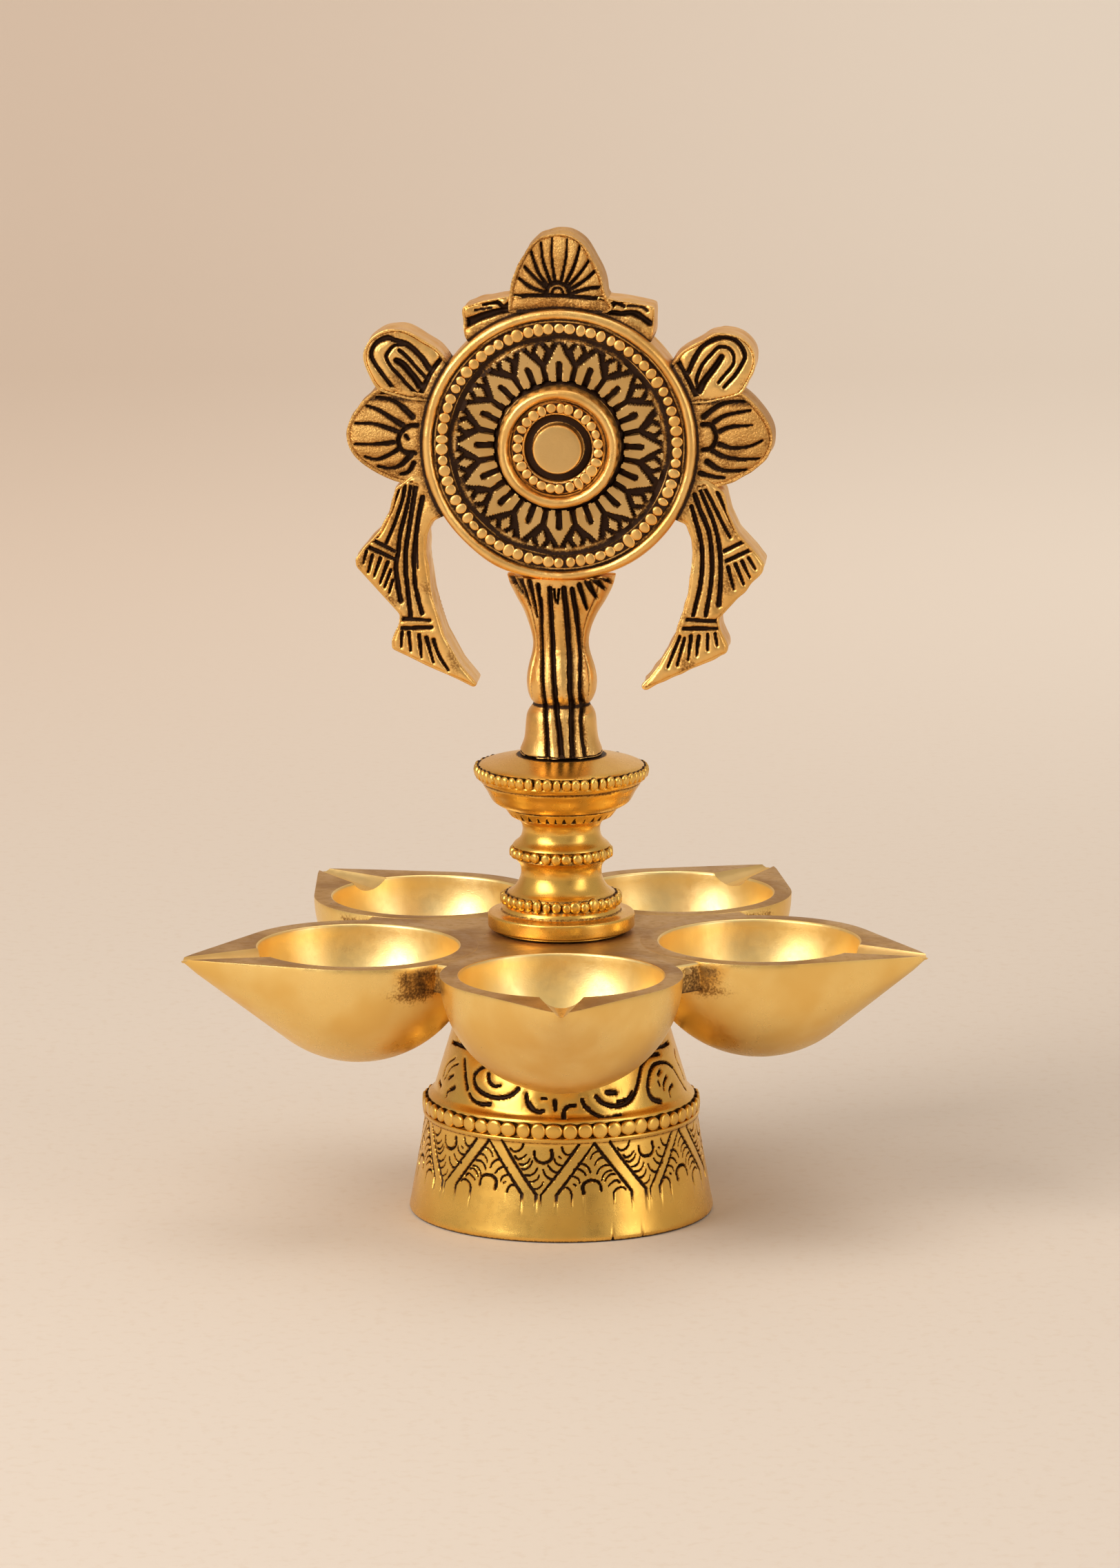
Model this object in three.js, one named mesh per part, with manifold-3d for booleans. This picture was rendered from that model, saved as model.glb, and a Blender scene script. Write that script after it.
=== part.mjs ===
// Five-wick brass lamp in millimetres, +Z up, standing on z = 0, front towards -Y.
// A hollow pedestal, a tray of five cups, a turned baluster and a two-sided wheel emblem are
// stacked on one axis. A stud fixed in the baluster screws through the tray into the pedestal.
import * as THREE from 'three';
import Module from 'manifold-3d';
import { mergeVertices } from 'three/addons/utils/BufferGeometryUtils.js';

const wasm = await Module();
wasm.setup();

// Fits between pieces
const seatGap = 0.3;
const studGap = 0.3;

// Pedestal, from the foot up
const footRadius = 31.05;
const footChamfer = 0.6;
const castWall = 2.6;
const skirtHeight = 19.4;
const skirtTopRadius = 27.7;
const ledgeOverhang = 0.95;
const ledgeHeight = 1.3;
const pedestalBeadRadius = 1.45;
const pedestalBeadCount = 56;
const pedestalLipHeight = 1.6;
const pedestalLipInset = 1.75;
const coneHeight = 26;
const coneTopRadius = 17.9;
const topWall = 4;
const bossRadius = 8;

// Stud that ties the stack, and the thread length that holds it
const studRadius = 4;
const threadPitch = 1.25;
const threadTurns = 8;
const studInBaluster = 16;
const studChamfer = 0.5;

// Cup tray
const cupCount = 5;
const cupRingRadius = 42.6;
const cupReach = 36;
const cupOuterRadius = 24;
const cupOuterDepth = 23.4;
const bowlRadius = 20.5;
const bowlDepth = 20.4;
const cupNoseHalfWidth = 1;
const plateRadius = 41;
const plateThickness = 6;
const channelHalfWidth = 4;
const channelDepth = 2.1;
const channelNoseHalfWidth = 0.6;
const channelNoseDepth = 0.5;
const trayTurn = 1.8;

// The cups were set out by hand. Each departs a little from the even star: outwards from the axis
// and in its reach in millimetres, and round the axis and in the way that it points in degrees.
const cupSettings = [
  { out: -0.2, longer: -0.6, round: -1.8, skew: -1.8 },
  { out: -1.6, longer: 0.6, round: 2.2, skew: -7.6 },
  { out: 2.2, longer: -1.4, round: 2.4, skew: -2.4 },
  { out: 1, longer: 0, round: 0.4, skew: 3 },
  { out: 0.6, longer: 1.6, round: 0, skew: 0.8 },
];

// Baluster, each height measured up from its lower neighbour
const undercutRadius = 13.3;
const undercutHeight = 0.4;
const flangeRadius = 14.8;
const flangeHeight = 3.2;
const lowerBeadRingRadius = 11.3;
const lowerBeadRadius = 0.97;
const lowerBeadCount = 36;
const lowerCoveHeight = 1.73;
const lowerNeckRadius = 8.05;
const lowerNeckHeight = 9.6;
const upperBeadRingRadius = 9.6;
const upperBeadRadius = 1.05;
const upperBeadCount = 28;
const upperNeckRadius = 7.75;
const upperNeckHeight = 5.6;
const leafBandRadius = 11.2;
const leafBandHeight = 4.4;
const dishStepRadius = 14.9;
const dishStepHeight = 4.6;
const dishRadius = 17.5;
const dishFlareHeight = 2.3;
const dishBeadRadius = 0.95;
const dishBeadCount = 56;
const dishCrownHeight = 3.1;
const dishCrownRadius = 8.9;

// Stud that holds the emblem on the dish
const crownStudRadius = 3;
const crownStudDepth = 10;

// Pillar of the emblem
const socketRadius = 8.4;
const socketTopRadius = 6.8;
const socketHeight = 8.7;
const creaseRadius = 5.5;
const creaseHeight = 1.8;
const bulgeRadius = 7.1;
const bulgeHeight = 4.4;
const waistRadius = 5.7;
const waistHeight = 8;
const fanRadius = 10.9;
const fanHeight = 13.5;
const pillarTopDepth = 7;
const fluteCount = 8;
const fluteDepth = 0.8;

// Wheel of the emblem
const wheelRadius = 27.5;
const wheelSeat = 0.7;
const plateHalf = 6;
const sideHalf = 5.6;
const rimWidth = 1.9;
const rimRise = 0.4;
const grooveDepth = 0.8;
const grooveWidth = 0.8;
const wheelBeadRadius = 0.98;
const wheelBeadCount = 70;
const petalCount = 16;
const petalLength = 7.9;
const petalWidth = 3.7;
const petalRise = 1.3;
const hubRingRadius = 11.15;
const hubRingHalfWidth = 1.05;
const hubRingRise = 4.1;
const hubBeadRingRadius = 8.2;
const hubBeadRadius = 0.88;
const hubBeadCount = 27;
const hubDiskRise = 3.4;
const capRadius = 4.9;
const capRise = 5.2;

// Pieces round the wheel
const castBevel = 1.4;
const earRadius = 7;
const earReach = 35.6;
const earAngle = 152;
const rootInset = 1.6;
const sideShellReach = 15;
const sideShellHalfHeight = 10.8;
const sideShellAngle = 176;
const sideShellInset = 0.3;
const shellGrooves = 7;
const shellArchRadius = 3;
const shellGrooveHalfWidth = 0.45;
const shellGrooveDepth = 0.9;
const shoulderHalfWidth = 19;
const shoulderRise = 1.5;
const shoulderDrop = 1.8;
const shoulderCorner = 5;
const finialHalfWidth = 9.5;
const finialHeight = 13.8;
const ribbonRootAngle = 196;
const ribbonInnerAngle = 213;
const ribbonElbowOut = 40.6;
const ribbonElbowDrop = 23.6;
const ribbonNotchOut = 31.6;
const ribbonNotchDrop = 34.3;
const ribbonHemOut = 32.8;
const ribbonHemDrop = 41;
const ribbonTipOut = 16.6;
const ribbonTipDrop = 49.2;
const ribbonInnerOut = 26.4;
const ribbonInnerDrop = 21;
const ribbonBandRise = 0.5;
const ribbonBandWidth = 3.4;
const emblemTurn = -4.5;

// How far a bead's widest circle lies under its band, as a share of the bead's radius
const beadSink = 0.28;

// Facets
const turnedSides = 26;
const pedestalSides = 40;
const wheelSides = 32;
const cupSides = 24;
const bowlSides = 24;
const arcSteps = 5;
const hullSteps = 6;

// Heights of the stack, which follow from the pieces
const pedestalHeight = skirtHeight + ledgeHeight + 2 * pedestalBeadRadius + pedestalLipHeight + coneHeight;
const plateTop = pedestalHeight + seatGap + plateThickness;
const balusterBase = plateTop + seatGap;
const flangeTop = undercutHeight + flangeHeight;
const lowerBeadHeight = flangeTop + lowerCoveHeight + lowerBeadRadius;
const upperBeadHeight = lowerBeadHeight + lowerNeckHeight;
const upperNeckTop = upperBeadHeight + upperNeckHeight;
const leafTop = upperNeckTop + leafBandHeight;
const dishStepTop = leafTop + dishStepHeight;
const dishBeadHeight = dishStepTop + dishFlareHeight;
const balusterHeight = dishBeadHeight + dishCrownHeight;
const emblemBase = balusterBase + balusterHeight + seatGap;
const pillarHeight = socketHeight + creaseHeight + bulgeHeight + waistHeight + fanHeight;
const wheelHeight = pillarHeight - wheelSeat + wheelRadius;
const studLength = threadPitch * threadTurns + pedestalToBaluster() + studInBaluster;

/** Height between the pedestal's top and the baluster's foot. */
function pedestalToBaluster() {
  return seatGap + plateThickness + seatGap;
}

/** A closed geometry as a solid, with shared vertices merged and faces turned outwards. */
function solid(geometry) {
  const bare = geometry.clone();
  bare.deleteAttribute('normal');
  bare.deleteAttribute('uv');
  const merged = mergeVertices(bare, 1e-4);
  const position = merged.getAttribute('position').array;
  const index = Array.from(merged.index.array);
  const faces = [];
  let volume = 0;
  for (let i = 0; i < index.length; i += 3) {
    const [a, b, c] = index.slice(i, i + 3);
    if (a === b || b === c || c === a) continue;
    faces.push([a, b, c]);
    const va = new THREE.Vector3().fromArray(position, 3 * a);
    const vb = new THREE.Vector3().fromArray(position, 3 * b);
    const vc = new THREE.Vector3().fromArray(position, 3 * c);
    volume += va.dot(vb.cross(vc));
  }
  const triVerts = new Uint32Array(faces.flatMap(([a, b, c]) => (volume < 0 ? [a, c, b] : [a, b, c])));
  return new wasm.Manifold(new wasm.Mesh({ numProp: 3, vertProperties: new Float32Array(position), triVerts }));
}

/** A solid of revolution about Z from points of radius and height. */
function turned(points, sides = turnedSides) {
  const profile = points.map(([r, z]) => new THREE.Vector2(r, z));
  return solid(new THREE.LatheGeometry(profile, sides).rotateX(Math.PI / 2));
}

/** Points on a smooth curve from one point of a profile to the next, bowed towards a control point. */
function bow(from, control, to, steps = arcSteps) {
  const curve = new THREE.QuadraticBezierCurve(
    new THREE.Vector2(...from),
    new THREE.Vector2(...control),
    new THREE.Vector2(...to),
  );
  return curve.getPoints(steps).map((p) => [p.x, p.y]);
}

/** A drafted plate of a given half thickness in the XZ plane, centred on Y = 0. */
function plate(outline, half, bevel = castBevel, curveSegments = 4) {
  const geometry = new THREE.ExtrudeGeometry(outline, {
    depth: 2 * (half - bevel),
    bevelThickness: bevel,
    bevelSize: bevel * 0.55,
    bevelOffset: -bevel * 0.55,
    bevelSegments: 1,
    curveSegments,
  });
  geometry.translate(0, 0, -(half - bevel)).rotateX(Math.PI / 2);
  return solid(geometry);
}

/** A bead with its pole along a direction, low enough in facets to be repeated many times. */
function bead(radius, centre, outward, sides) {
  const geometry = new THREE.SphereGeometry(radius, sides, 2);
  const up = new THREE.Vector3(0, 1, 0);
  geometry.applyQuaternion(new THREE.Quaternion().setFromUnitVectors(up, outward.clone().normalize()));
  geometry.translate(centre.x, centre.y, centre.z);
  return solid(geometry);
}

/** A ring of beads seated on a turned band round the Z axis, facing out and up by a tilt in radians. */
function beadRing(count, bandRadius, height, radius, tilt = 0, sides = 4) {
  const beads = [];
  const ringRadius = bandRadius - beadSink * radius;
  for (let i = 0; i < count; i++) {
    const angle = ((i + 0.5) / count) * 2 * Math.PI;
    const centre = new THREE.Vector3(ringRadius * Math.cos(angle), ringRadius * Math.sin(angle), height);
    const outward = new THREE.Vector3(
      Math.cos(tilt) * Math.cos(angle),
      Math.cos(tilt) * Math.sin(angle),
      Math.sin(tilt),
    );
    beads.push(bead(radius, centre, outward, sides));
  }
  return wasm.Manifold.union(beads);
}

/** A geometry for a mesh from a solid. */
function geometryOf(body) {
  const mesh = body.getMesh();
  const positions = new Float32Array(mesh.numVert * 3);
  for (let i = 0; i < mesh.numVert; i++) {
    for (let k = 0; k < 3; k++) positions[3 * i + k] = mesh.vertProperties[i * mesh.numProp + k];
  }
  const geometry = new THREE.BufferGeometry();
  geometry.setAttribute('position', new THREE.BufferAttribute(positions, 3));
  geometry.setIndex(new THREE.BufferAttribute(new Uint32Array(mesh.triVerts), 1));
  geometry.computeVertexNormals();
  return geometry;
}

/** The hollow pedestal with its skirt, bead ring, cone, top wall and tapped boss. */
function makePedestal() {
  const ledge = skirtHeight + ledgeHeight;
  const beadHeight = ledge + pedestalBeadRadius;
  const lip = ledge + 2 * pedestalBeadRadius;
  const coneStart = lip + pedestalLipHeight;
  const ledgeRadius = skirtTopRadius + ledgeOverhang;
  const beadSeatRadius = ledgeRadius - pedestalBeadRadius;
  const lipRadius = ledgeRadius - pedestalLipInset;
  const coneFootRadius = lipRadius - 1.1;
  const boreRadius = studRadius + studGap;
  const wallTop = pedestalHeight - topWall;
  const bossFoot = pedestalHeight - threadPitch * threadTurns;
  const draft = (coneFootRadius - coneTopRadius) / coneHeight;
  const innerTopRadius = coneTopRadius + draft * topWall - castWall;
  const innerConeRadius = coneFootRadius - castWall;
  const body = turned([
    [footRadius - castWall - footChamfer, 0],
    [footRadius - footChamfer, 0],
    [footRadius, footChamfer],
    [skirtTopRadius, skirtHeight],
    [ledgeRadius, skirtHeight + ledgeHeight * 0.5],
    [ledgeRadius, ledge],
    [beadSeatRadius, ledge],
    [beadSeatRadius, lip],
    [lipRadius, lip],
    [lipRadius, lip + pedestalLipHeight * 0.4],
    [coneFootRadius, coneStart],
    [coneTopRadius, pedestalHeight - footChamfer],
    [coneTopRadius - footChamfer, pedestalHeight],
    [boreRadius, pedestalHeight],
    [boreRadius, bossFoot],
    [bossRadius, bossFoot],
    [bossRadius, wallTop],
    [innerTopRadius, wallTop],
    [innerConeRadius, coneStart],
    [innerConeRadius, skirtHeight],
    [footRadius - castWall - footChamfer, 0],
  ], pedestalSides);
  const ring = beadRing(pedestalBeadCount, beadSeatRadius, beadHeight, pedestalBeadRadius);
  return body.add(ring);
}

/** Where a cup stands in the tray: its bowl's centre, the way that it points, and its reach. */
function cupPlace(index) {
  const own = cupSettings[index % cupSettings.length];
  const even = (360 * index) / cupCount - 90;
  const radius = cupRingRadius + own.out;
  return {
    x: radius * Math.cos(deg(even + own.round)),
    y: radius * Math.sin(deg(even + own.round)),
    heading: deg(even + own.skew),
    reach: cupReach + own.longer,
  };
}

/** The outer hull of one cup: a bowl drawn out to a pointed spout, as a solid of revolution. */
function cupHull(reach) {
  const tangent = Math.acos(cupOuterRadius / reach);
  const profile = [];
  for (let i = 0; i <= hullSteps; i++) {
    const angle = Math.PI + (tangent - Math.PI) * (i / hullSteps);
    profile.push(new THREE.Vector2(cupOuterRadius * Math.sin(angle), cupOuterRadius * Math.cos(angle)));
  }
  profile[0].x = 0;
  profile.push(new THREE.Vector2(cupNoseHalfWidth, reach - cupNoseHalfWidth * 0.5));
  profile.push(new THREE.Vector2(cupNoseHalfWidth * 0.5, reach));
  profile.push(new THREE.Vector2(0, reach));
  const geometry = new THREE.LatheGeometry(profile, cupSides);
  geometry.rotateZ(-Math.PI / 2).scale(1, 1, cupOuterDepth / cupOuterRadius);
  return geometry;
}

/** The bowl's hollow, open above the tray's top plane. */
function bowlHollow() {
  const profile = [new THREE.Vector2(0, -bowlDepth)];
  for (let i = 1; i <= arcSteps; i++) {
    const angle = (i / arcSteps) * (Math.PI / 2);
    profile.push(new THREE.Vector2(bowlRadius * Math.sin(angle), -bowlDepth * Math.cos(angle)));
  }
  profile.push(new THREE.Vector2(bowlRadius, plateThickness));
  profile.push(new THREE.Vector2(0, plateThickness));
  return new THREE.LatheGeometry(profile, bowlSides).rotateX(Math.PI / 2);
}

/** The wick channel: a tapered round gouge that runs from the bowl's edge out past the nose. */
function wickChannel(cupLength) {
  const reach = cupLength + cupNoseHalfWidth;
  const start = bowlRadius * 0.75;
  const gouge = (half, depth) => (half * half + depth * depth) / (2 * depth);
  const wide = gouge(channelHalfWidth, channelDepth);
  const narrow = gouge(channelNoseHalfWidth, channelNoseDepth);
  const run = reach - bowlRadius;
  const slope = (wide - narrow) / run;
  const startRadius = wide + slope * (bowlRadius - start);
  const geometry = new THREE.CylinderGeometry(narrow, startRadius, reach - start, 20);
  geometry.rotateZ(-Math.PI / 2).translate((reach + start) / 2, 0, 0);
  const lift = (wide - channelDepth - (narrow - channelNoseDepth)) / run;
  const tilt = new THREE.Matrix4().set(
    1, 0, 0, 0,
    0, 1, 0, 0,
    -lift, 0, 1, narrow - channelNoseDepth + lift * reach,
    0, 0, 0, 1,
  );
  return geometry.applyMatrix4(tilt);
}

/** The tray of five cups, its centre plate and its hole for the stud. */
function makeTray() {
  const hulls = [];
  const hollows = [];
  for (let i = 0; i < cupCount; i++) {
    const { x, y, heading, reach } = cupPlace(i);
    const place = (geometry) => geometry.rotateZ(heading).translate(x, y, plateTop);
    hulls.push(solid(place(cupHull(reach))));
    hollows.push(solid(place(bowlHollow())));
    hollows.push(solid(place(wickChannel(reach))));
  }
  const plateFoot = plateTop - plateThickness;
  const plateBody = turned([[0, plateFoot], [plateRadius, plateFoot], [plateRadius, plateTop], [0, plateTop]], 40);
  const span = 3 * (cupRingRadius + cupReach);
  const above = new THREE.BoxGeometry(span, span, 2 * cupOuterRadius);
  above.translate(0, 0, plateTop + cupOuterRadius);
  const bore = new THREE.CylinderGeometry(studRadius + studGap, studRadius + studGap, 3 * plateThickness, 24);
  bore.rotateX(Math.PI / 2).translate(0, 0, plateTop - plateThickness / 2);
  return wasm.Manifold.union([plateBody, ...hulls])
    .subtract(solid(above))
    .subtract(wasm.Manifold.union([...hollows, solid(bore)]));
}

/** The turned baluster with its clamping flange, two necks, bead rings and flared dish. */
function makeBaluster() {
  const stroke = [
    [0, 0],
    [undercutRadius, 0],
    [undercutRadius, undercutHeight],
    [flangeRadius - 0.4, undercutHeight],
    [flangeRadius, undercutHeight + 0.5],
    [flangeRadius, flangeTop - 0.7],
    [flangeRadius - 0.7, flangeTop],
    [lowerBeadRingRadius + 0.4, flangeTop + 0.3],
    [lowerBeadRingRadius, lowerBeadHeight - lowerBeadRadius],
    [lowerBeadRingRadius, lowerBeadHeight + lowerBeadRadius],
    ...bow(
      [lowerBeadRingRadius - 1.4, lowerBeadHeight + lowerBeadRadius + 0.2],
      [lowerNeckRadius, lowerBeadHeight + lowerBeadRadius + 1.2],
      [lowerNeckRadius, lowerBeadHeight + lowerNeckHeight * 0.6],
      3,
    ),
    [upperBeadRingRadius, upperBeadHeight - upperBeadRadius],
    [upperBeadRingRadius, upperBeadHeight + upperBeadRadius],
    [upperNeckRadius, upperBeadHeight + upperBeadRadius + 0.9],
    [upperNeckRadius, upperNeckTop],
    [leafBandRadius - 1.2, upperNeckTop + 0.9],
    [leafBandRadius, leafTop - 1],
    [leafBandRadius + 1.2, leafTop],
    [dishStepRadius - 0.9, leafTop + 1],
    [dishStepRadius, dishStepTop - 1],
    [dishStepRadius + 0.6, dishStepTop],
    ...bow([dishStepRadius + 0.9, dishStepTop + 0.4], [dishRadius - 0.6, dishStepTop + 0.9], [dishRadius, dishBeadHeight - 0.6], 2),
    [dishRadius - dishBeadRadius, dishBeadHeight + dishBeadRadius],
    [dishCrownRadius, balusterHeight],
    [0, balusterHeight],
  ];
  const lower = beadRing(lowerBeadCount, lowerBeadRingRadius, lowerBeadHeight, lowerBeadRadius);
  const upper = beadRing(upperBeadCount, upperBeadRingRadius, upperBeadHeight, upperBeadRadius);
  const rim = beadRing(dishBeadCount, dishRadius - dishBeadRadius * 0.4, dishBeadHeight, dishBeadRadius, 0.55);
  const studBore = turned([
    [0, -1],
    [studRadius + studGap, -1],
    [studRadius + studGap, studInBaluster + studGap],
    [0, studInBaluster + studGap],
  ], 24);
  const crownBore = turned([
    [0, balusterHeight - crownStudDepth - studGap],
    [crownStudRadius + studGap, balusterHeight - crownStudDepth - studGap],
    [crownStudRadius + studGap, balusterHeight + 1],
    [0, balusterHeight + 1],
  ], 20);
  return wasm.Manifold.union([turned(stroke), lower, upper, rim]).subtract(studBore).subtract(crownBore);
}

/** A round stud with chamfered ends, standing on z = 0. */
function makeStud(radius, length) {
  return turned([
    [0, 0],
    [radius - studChamfer, 0],
    [radius, studChamfer],
    [radius, length - studChamfer],
    [radius - studChamfer, length],
    [0, length],
  ], 16);
}

/** The emblem's pillar: a fluted sheath on a plain socket, flattened towards the wheel. */
function makePillar() {
  const crease = socketHeight + creaseHeight;
  const bulge = crease + bulgeHeight;
  const waist = bulge + waistHeight;
  const profile = [
    [0, 0],
    ...bow([socketRadius, 0], [socketRadius, socketHeight * 0.6], [socketTopRadius, socketHeight], 2),
    [creaseRadius, crease],
    ...bow([bulgeRadius - 0.9, crease + 1.2], [bulgeRadius + 0.9, bulge], [waistRadius, waist], 4),
    ...bow([waistRadius + 0.1, waist + 1], [waistRadius + 0.6, waist + fanHeight * 0.6], [fanRadius, pillarHeight], 3),
    [0, pillarHeight],
  ];
  const squeeze = (z) => 1 - (1 - pillarTopDepth / fanRadius) * THREE.MathUtils.smoothstep(z, crease, pillarHeight);
  const sides = 3 * fluteCount;
  const shape = new THREE.LatheGeometry(profile.map(([r, z]) => new THREE.Vector2(r, z)), sides).rotateX(Math.PI / 2);
  const vertices = shape.getAttribute('position');
  for (let i = 0; i < vertices.count; i++) {
    const [x, y, z] = [vertices.getX(i), vertices.getY(i), vertices.getZ(i)];
    const radius = Math.hypot(x, y);
    const side = Math.round((Math.atan2(y, x) / (2 * Math.PI)) * sides);
    const valley = z > crease + 0.1 && radius > fluteDepth && side % 3 === 0;
    const drawn = valley ? 1 - fluteDepth / radius : 1;
    vertices.setXYZ(i, x * drawn, y * drawn * squeeze(z), z);
  }
  return solid(shape);
}

/** The wheel's turned blank, the same on both faces, about the Y axis. */
function wheelBlank() {
  const face = [
    [capRadius, plateHalf + capRise],
    [capRadius + 0.3, plateHalf + hubDiskRise - 1],
    [hubBeadRingRadius - hubBeadRadius, plateHalf + hubDiskRise],
    [hubBeadRingRadius + hubBeadRadius, plateHalf + hubDiskRise],
    [hubRingRadius, plateHalf + hubRingRise + 0.5],
    [hubRingRadius + hubRingHalfWidth, plateHalf],
    [petalOuterRadius(), plateHalf],
    [petalOuterRadius() + grooveWidth * 0.5, plateHalf - grooveDepth],
    [petalOuterRadius() + grooveWidth, plateHalf],
    [wheelRadius - rimWidth - grooveWidth, plateHalf],
    [wheelRadius - rimWidth - grooveWidth * 0.5, plateHalf - grooveDepth],
    [wheelRadius - rimWidth * 0.5, plateHalf + rimRise],
    [wheelRadius, plateHalf * 0.4],
  ];
  const back = face.map(([r, y]) => [r, -y]).reverse();
  const profile = [[0, plateHalf + capRise], ...face, ...back, [0, -plateHalf - capRise]];
  return new THREE.LatheGeometry(profile.map(([r, y]) => new THREE.Vector2(r, y)), wheelSides);
}

/** Radius of the plain groove that closes the petal field. */
function petalOuterRadius() {
  return hubRingRadius + hubRingHalfWidth + 0.5 + petalLength + 0.6;
}

/** One lotus petal as a ridged leaf along +X, its ridge raised above the wheel's face. */
function petalGeometry() {
  const length = petalLength;
  const half = petalWidth / 2;
  const outline = [[0, half * 0.5], [length * 0.42, half], [length, 0], [length * 0.42, -half], [0, -half * 0.5]];
  const positions = [];
  const sunk = 1;
  outline.forEach(([x, z]) => positions.push(x, -sunk, z));
  outline.forEach(([x, z]) => positions.push(x, 0.35, z));
  positions.push(0, petalRise * 0.7, 0);
  positions.push(length * 0.45, petalRise, 0);
  const n = outline.length;
  const index = [];
  for (let i = 0; i < n; i++) {
    const j = (i + 1) % n;
    index.push(i, j, n + j, i, n + j, n + i);
    if (i > 0 && i < n - 1) index.push(0, i + 1, i);
  }
  const heel = 2 * n;
  const crest = 2 * n + 1;
  index.push(n, n + 1, crest, n, crest, heel);
  for (let i = 1; i < n - 1; i++) index.push(n + i, n + i + 1, crest);
  index.push(n + n - 1, heel, crest, n + n - 1, n, heel);
  const geometry = new THREE.BufferGeometry();
  geometry.setAttribute('position', new THREE.Float32BufferAttribute(positions, 3));
  geometry.setIndex(index);
  return geometry;
}

/** The wheel: turned blank, lotus petals and two bead rings, worked on both faces. */
function makeWheel() {
  const parts = [solid(wheelBlank())];
  const beadOrbit = (petalOuterRadius() + grooveWidth + wheelRadius - rimWidth - grooveWidth) / 2;
  for (const side of [1, -1]) {
    const outward = new THREE.Vector3(0, side, 0);
    const orbit = (radius, angle, depth) => new THREE.Vector3(radius * Math.cos(angle), side * depth, radius * Math.sin(angle));
    for (let i = 0; i < wheelBeadCount; i++) {
      const angle = (i / wheelBeadCount) * 2 * Math.PI;
      parts.push(bead(wheelBeadRadius, orbit(beadOrbit, angle, plateHalf - beadSink * wheelBeadRadius), outward, 4));
    }
    for (let i = 0; i < hubBeadCount; i++) {
      const angle = (i / hubBeadCount) * 2 * Math.PI;
      parts.push(bead(hubBeadRadius, orbit(hubBeadRingRadius, angle, plateHalf + hubDiskRise - beadSink * hubBeadRadius), outward, 4));
    }
    for (let i = 0; i < petalCount; i++) {
      const petal = petalGeometry().translate(hubRingRadius + hubRingHalfWidth + 0.6, plateHalf - 0.1, 0);
      if (side < 0) petal.rotateX(Math.PI);
      petal.rotateY((i / petalCount) * 2 * Math.PI);
      parts.push(solid(petal));
    }
  }
  return wasm.Manifold.union(parts);
}

/** Cutters for the grooves that fan out over both faces of a shell. */
function shellCutters(centre, reachAt, from, to) {
  const cutters = [];
  for (let i = 0; i < shellGrooves; i++) {
    const angle = from + ((i + 0.5) / shellGrooves) * (to - from);
    const reach = reachAt(angle);
    const length = reach - shellArchRadius;
    for (const side of [1, -1]) {
      const cutter = new THREE.SphereGeometry(1, 4, 2);
      cutter.rotateZ(Math.PI / 2).rotateX(Math.PI / 4);
      cutter.scale(length / 2 + 0.4, shellGrooveDepth, shellGrooveHalfWidth);
      cutter.translate(shellArchRadius + length / 2 + 0.2, 0, 0).rotateY(-angle);
      cutters.push(solid(cutter.translate(centre.x, side * sideHalf, centre.y)));
    }
  }
  return wasm.Manifold.union(cutters);
}

/** The shell finial, the plate that it stands on, and its grooves. */
function makeCrest() {
  const base = wheelRadius + shoulderRise;
  const shoulder = new THREE.Shape();
  shoulder.moveTo(-shoulderHalfWidth, Math.sqrt(wheelRadius ** 2 - shoulderHalfWidth ** 2) - castBevel);
  shoulder.lineTo(-shoulderHalfWidth, base - shoulderDrop);
  shoulder.lineTo(-shoulderHalfWidth + shoulderCorner, base);
  shoulder.lineTo(shoulderHalfWidth - shoulderCorner, base);
  shoulder.lineTo(shoulderHalfWidth, base - shoulderDrop);
  shoulder.lineTo(shoulderHalfWidth, Math.sqrt(wheelRadius ** 2 - shoulderHalfWidth ** 2) - castBevel);
  const shell = new THREE.Shape();
  shell.moveTo(-finialHalfWidth, base - 0.6);
  shell.bezierCurveTo(
    -finialHalfWidth * 0.95, base + finialHeight * 0.55,
    -finialHalfWidth * 0.45, base + finialHeight,
    0, base + finialHeight,
  );
  shell.bezierCurveTo(
    finialHalfWidth * 0.45, base + finialHeight,
    finialHalfWidth * 0.95, base + finialHeight * 0.55,
    finialHalfWidth, base - 0.6,
  );
  const reachAt = (angle) => {
    const x = (finialHalfWidth - 1) / Math.max(Math.abs(Math.cos(angle)), 1e-3);
    const rise = (finialHeight - 1) / (0.25 + 0.75 * Math.sin(angle));
    return Math.min(x, rise);
  };
  const cutters = shellCutters(new THREE.Vector2(0, base), reachAt, deg(12), deg(168));
  return wasm.Manifold.union([plate(shoulder, sideHalf - 0.5), plate(shell, sideHalf, castBevel, 4).subtract(cutters)]);
}

/** Radians from degrees. */
function deg(angle) {
  return THREE.MathUtils.degToRad(angle);
}

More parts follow.
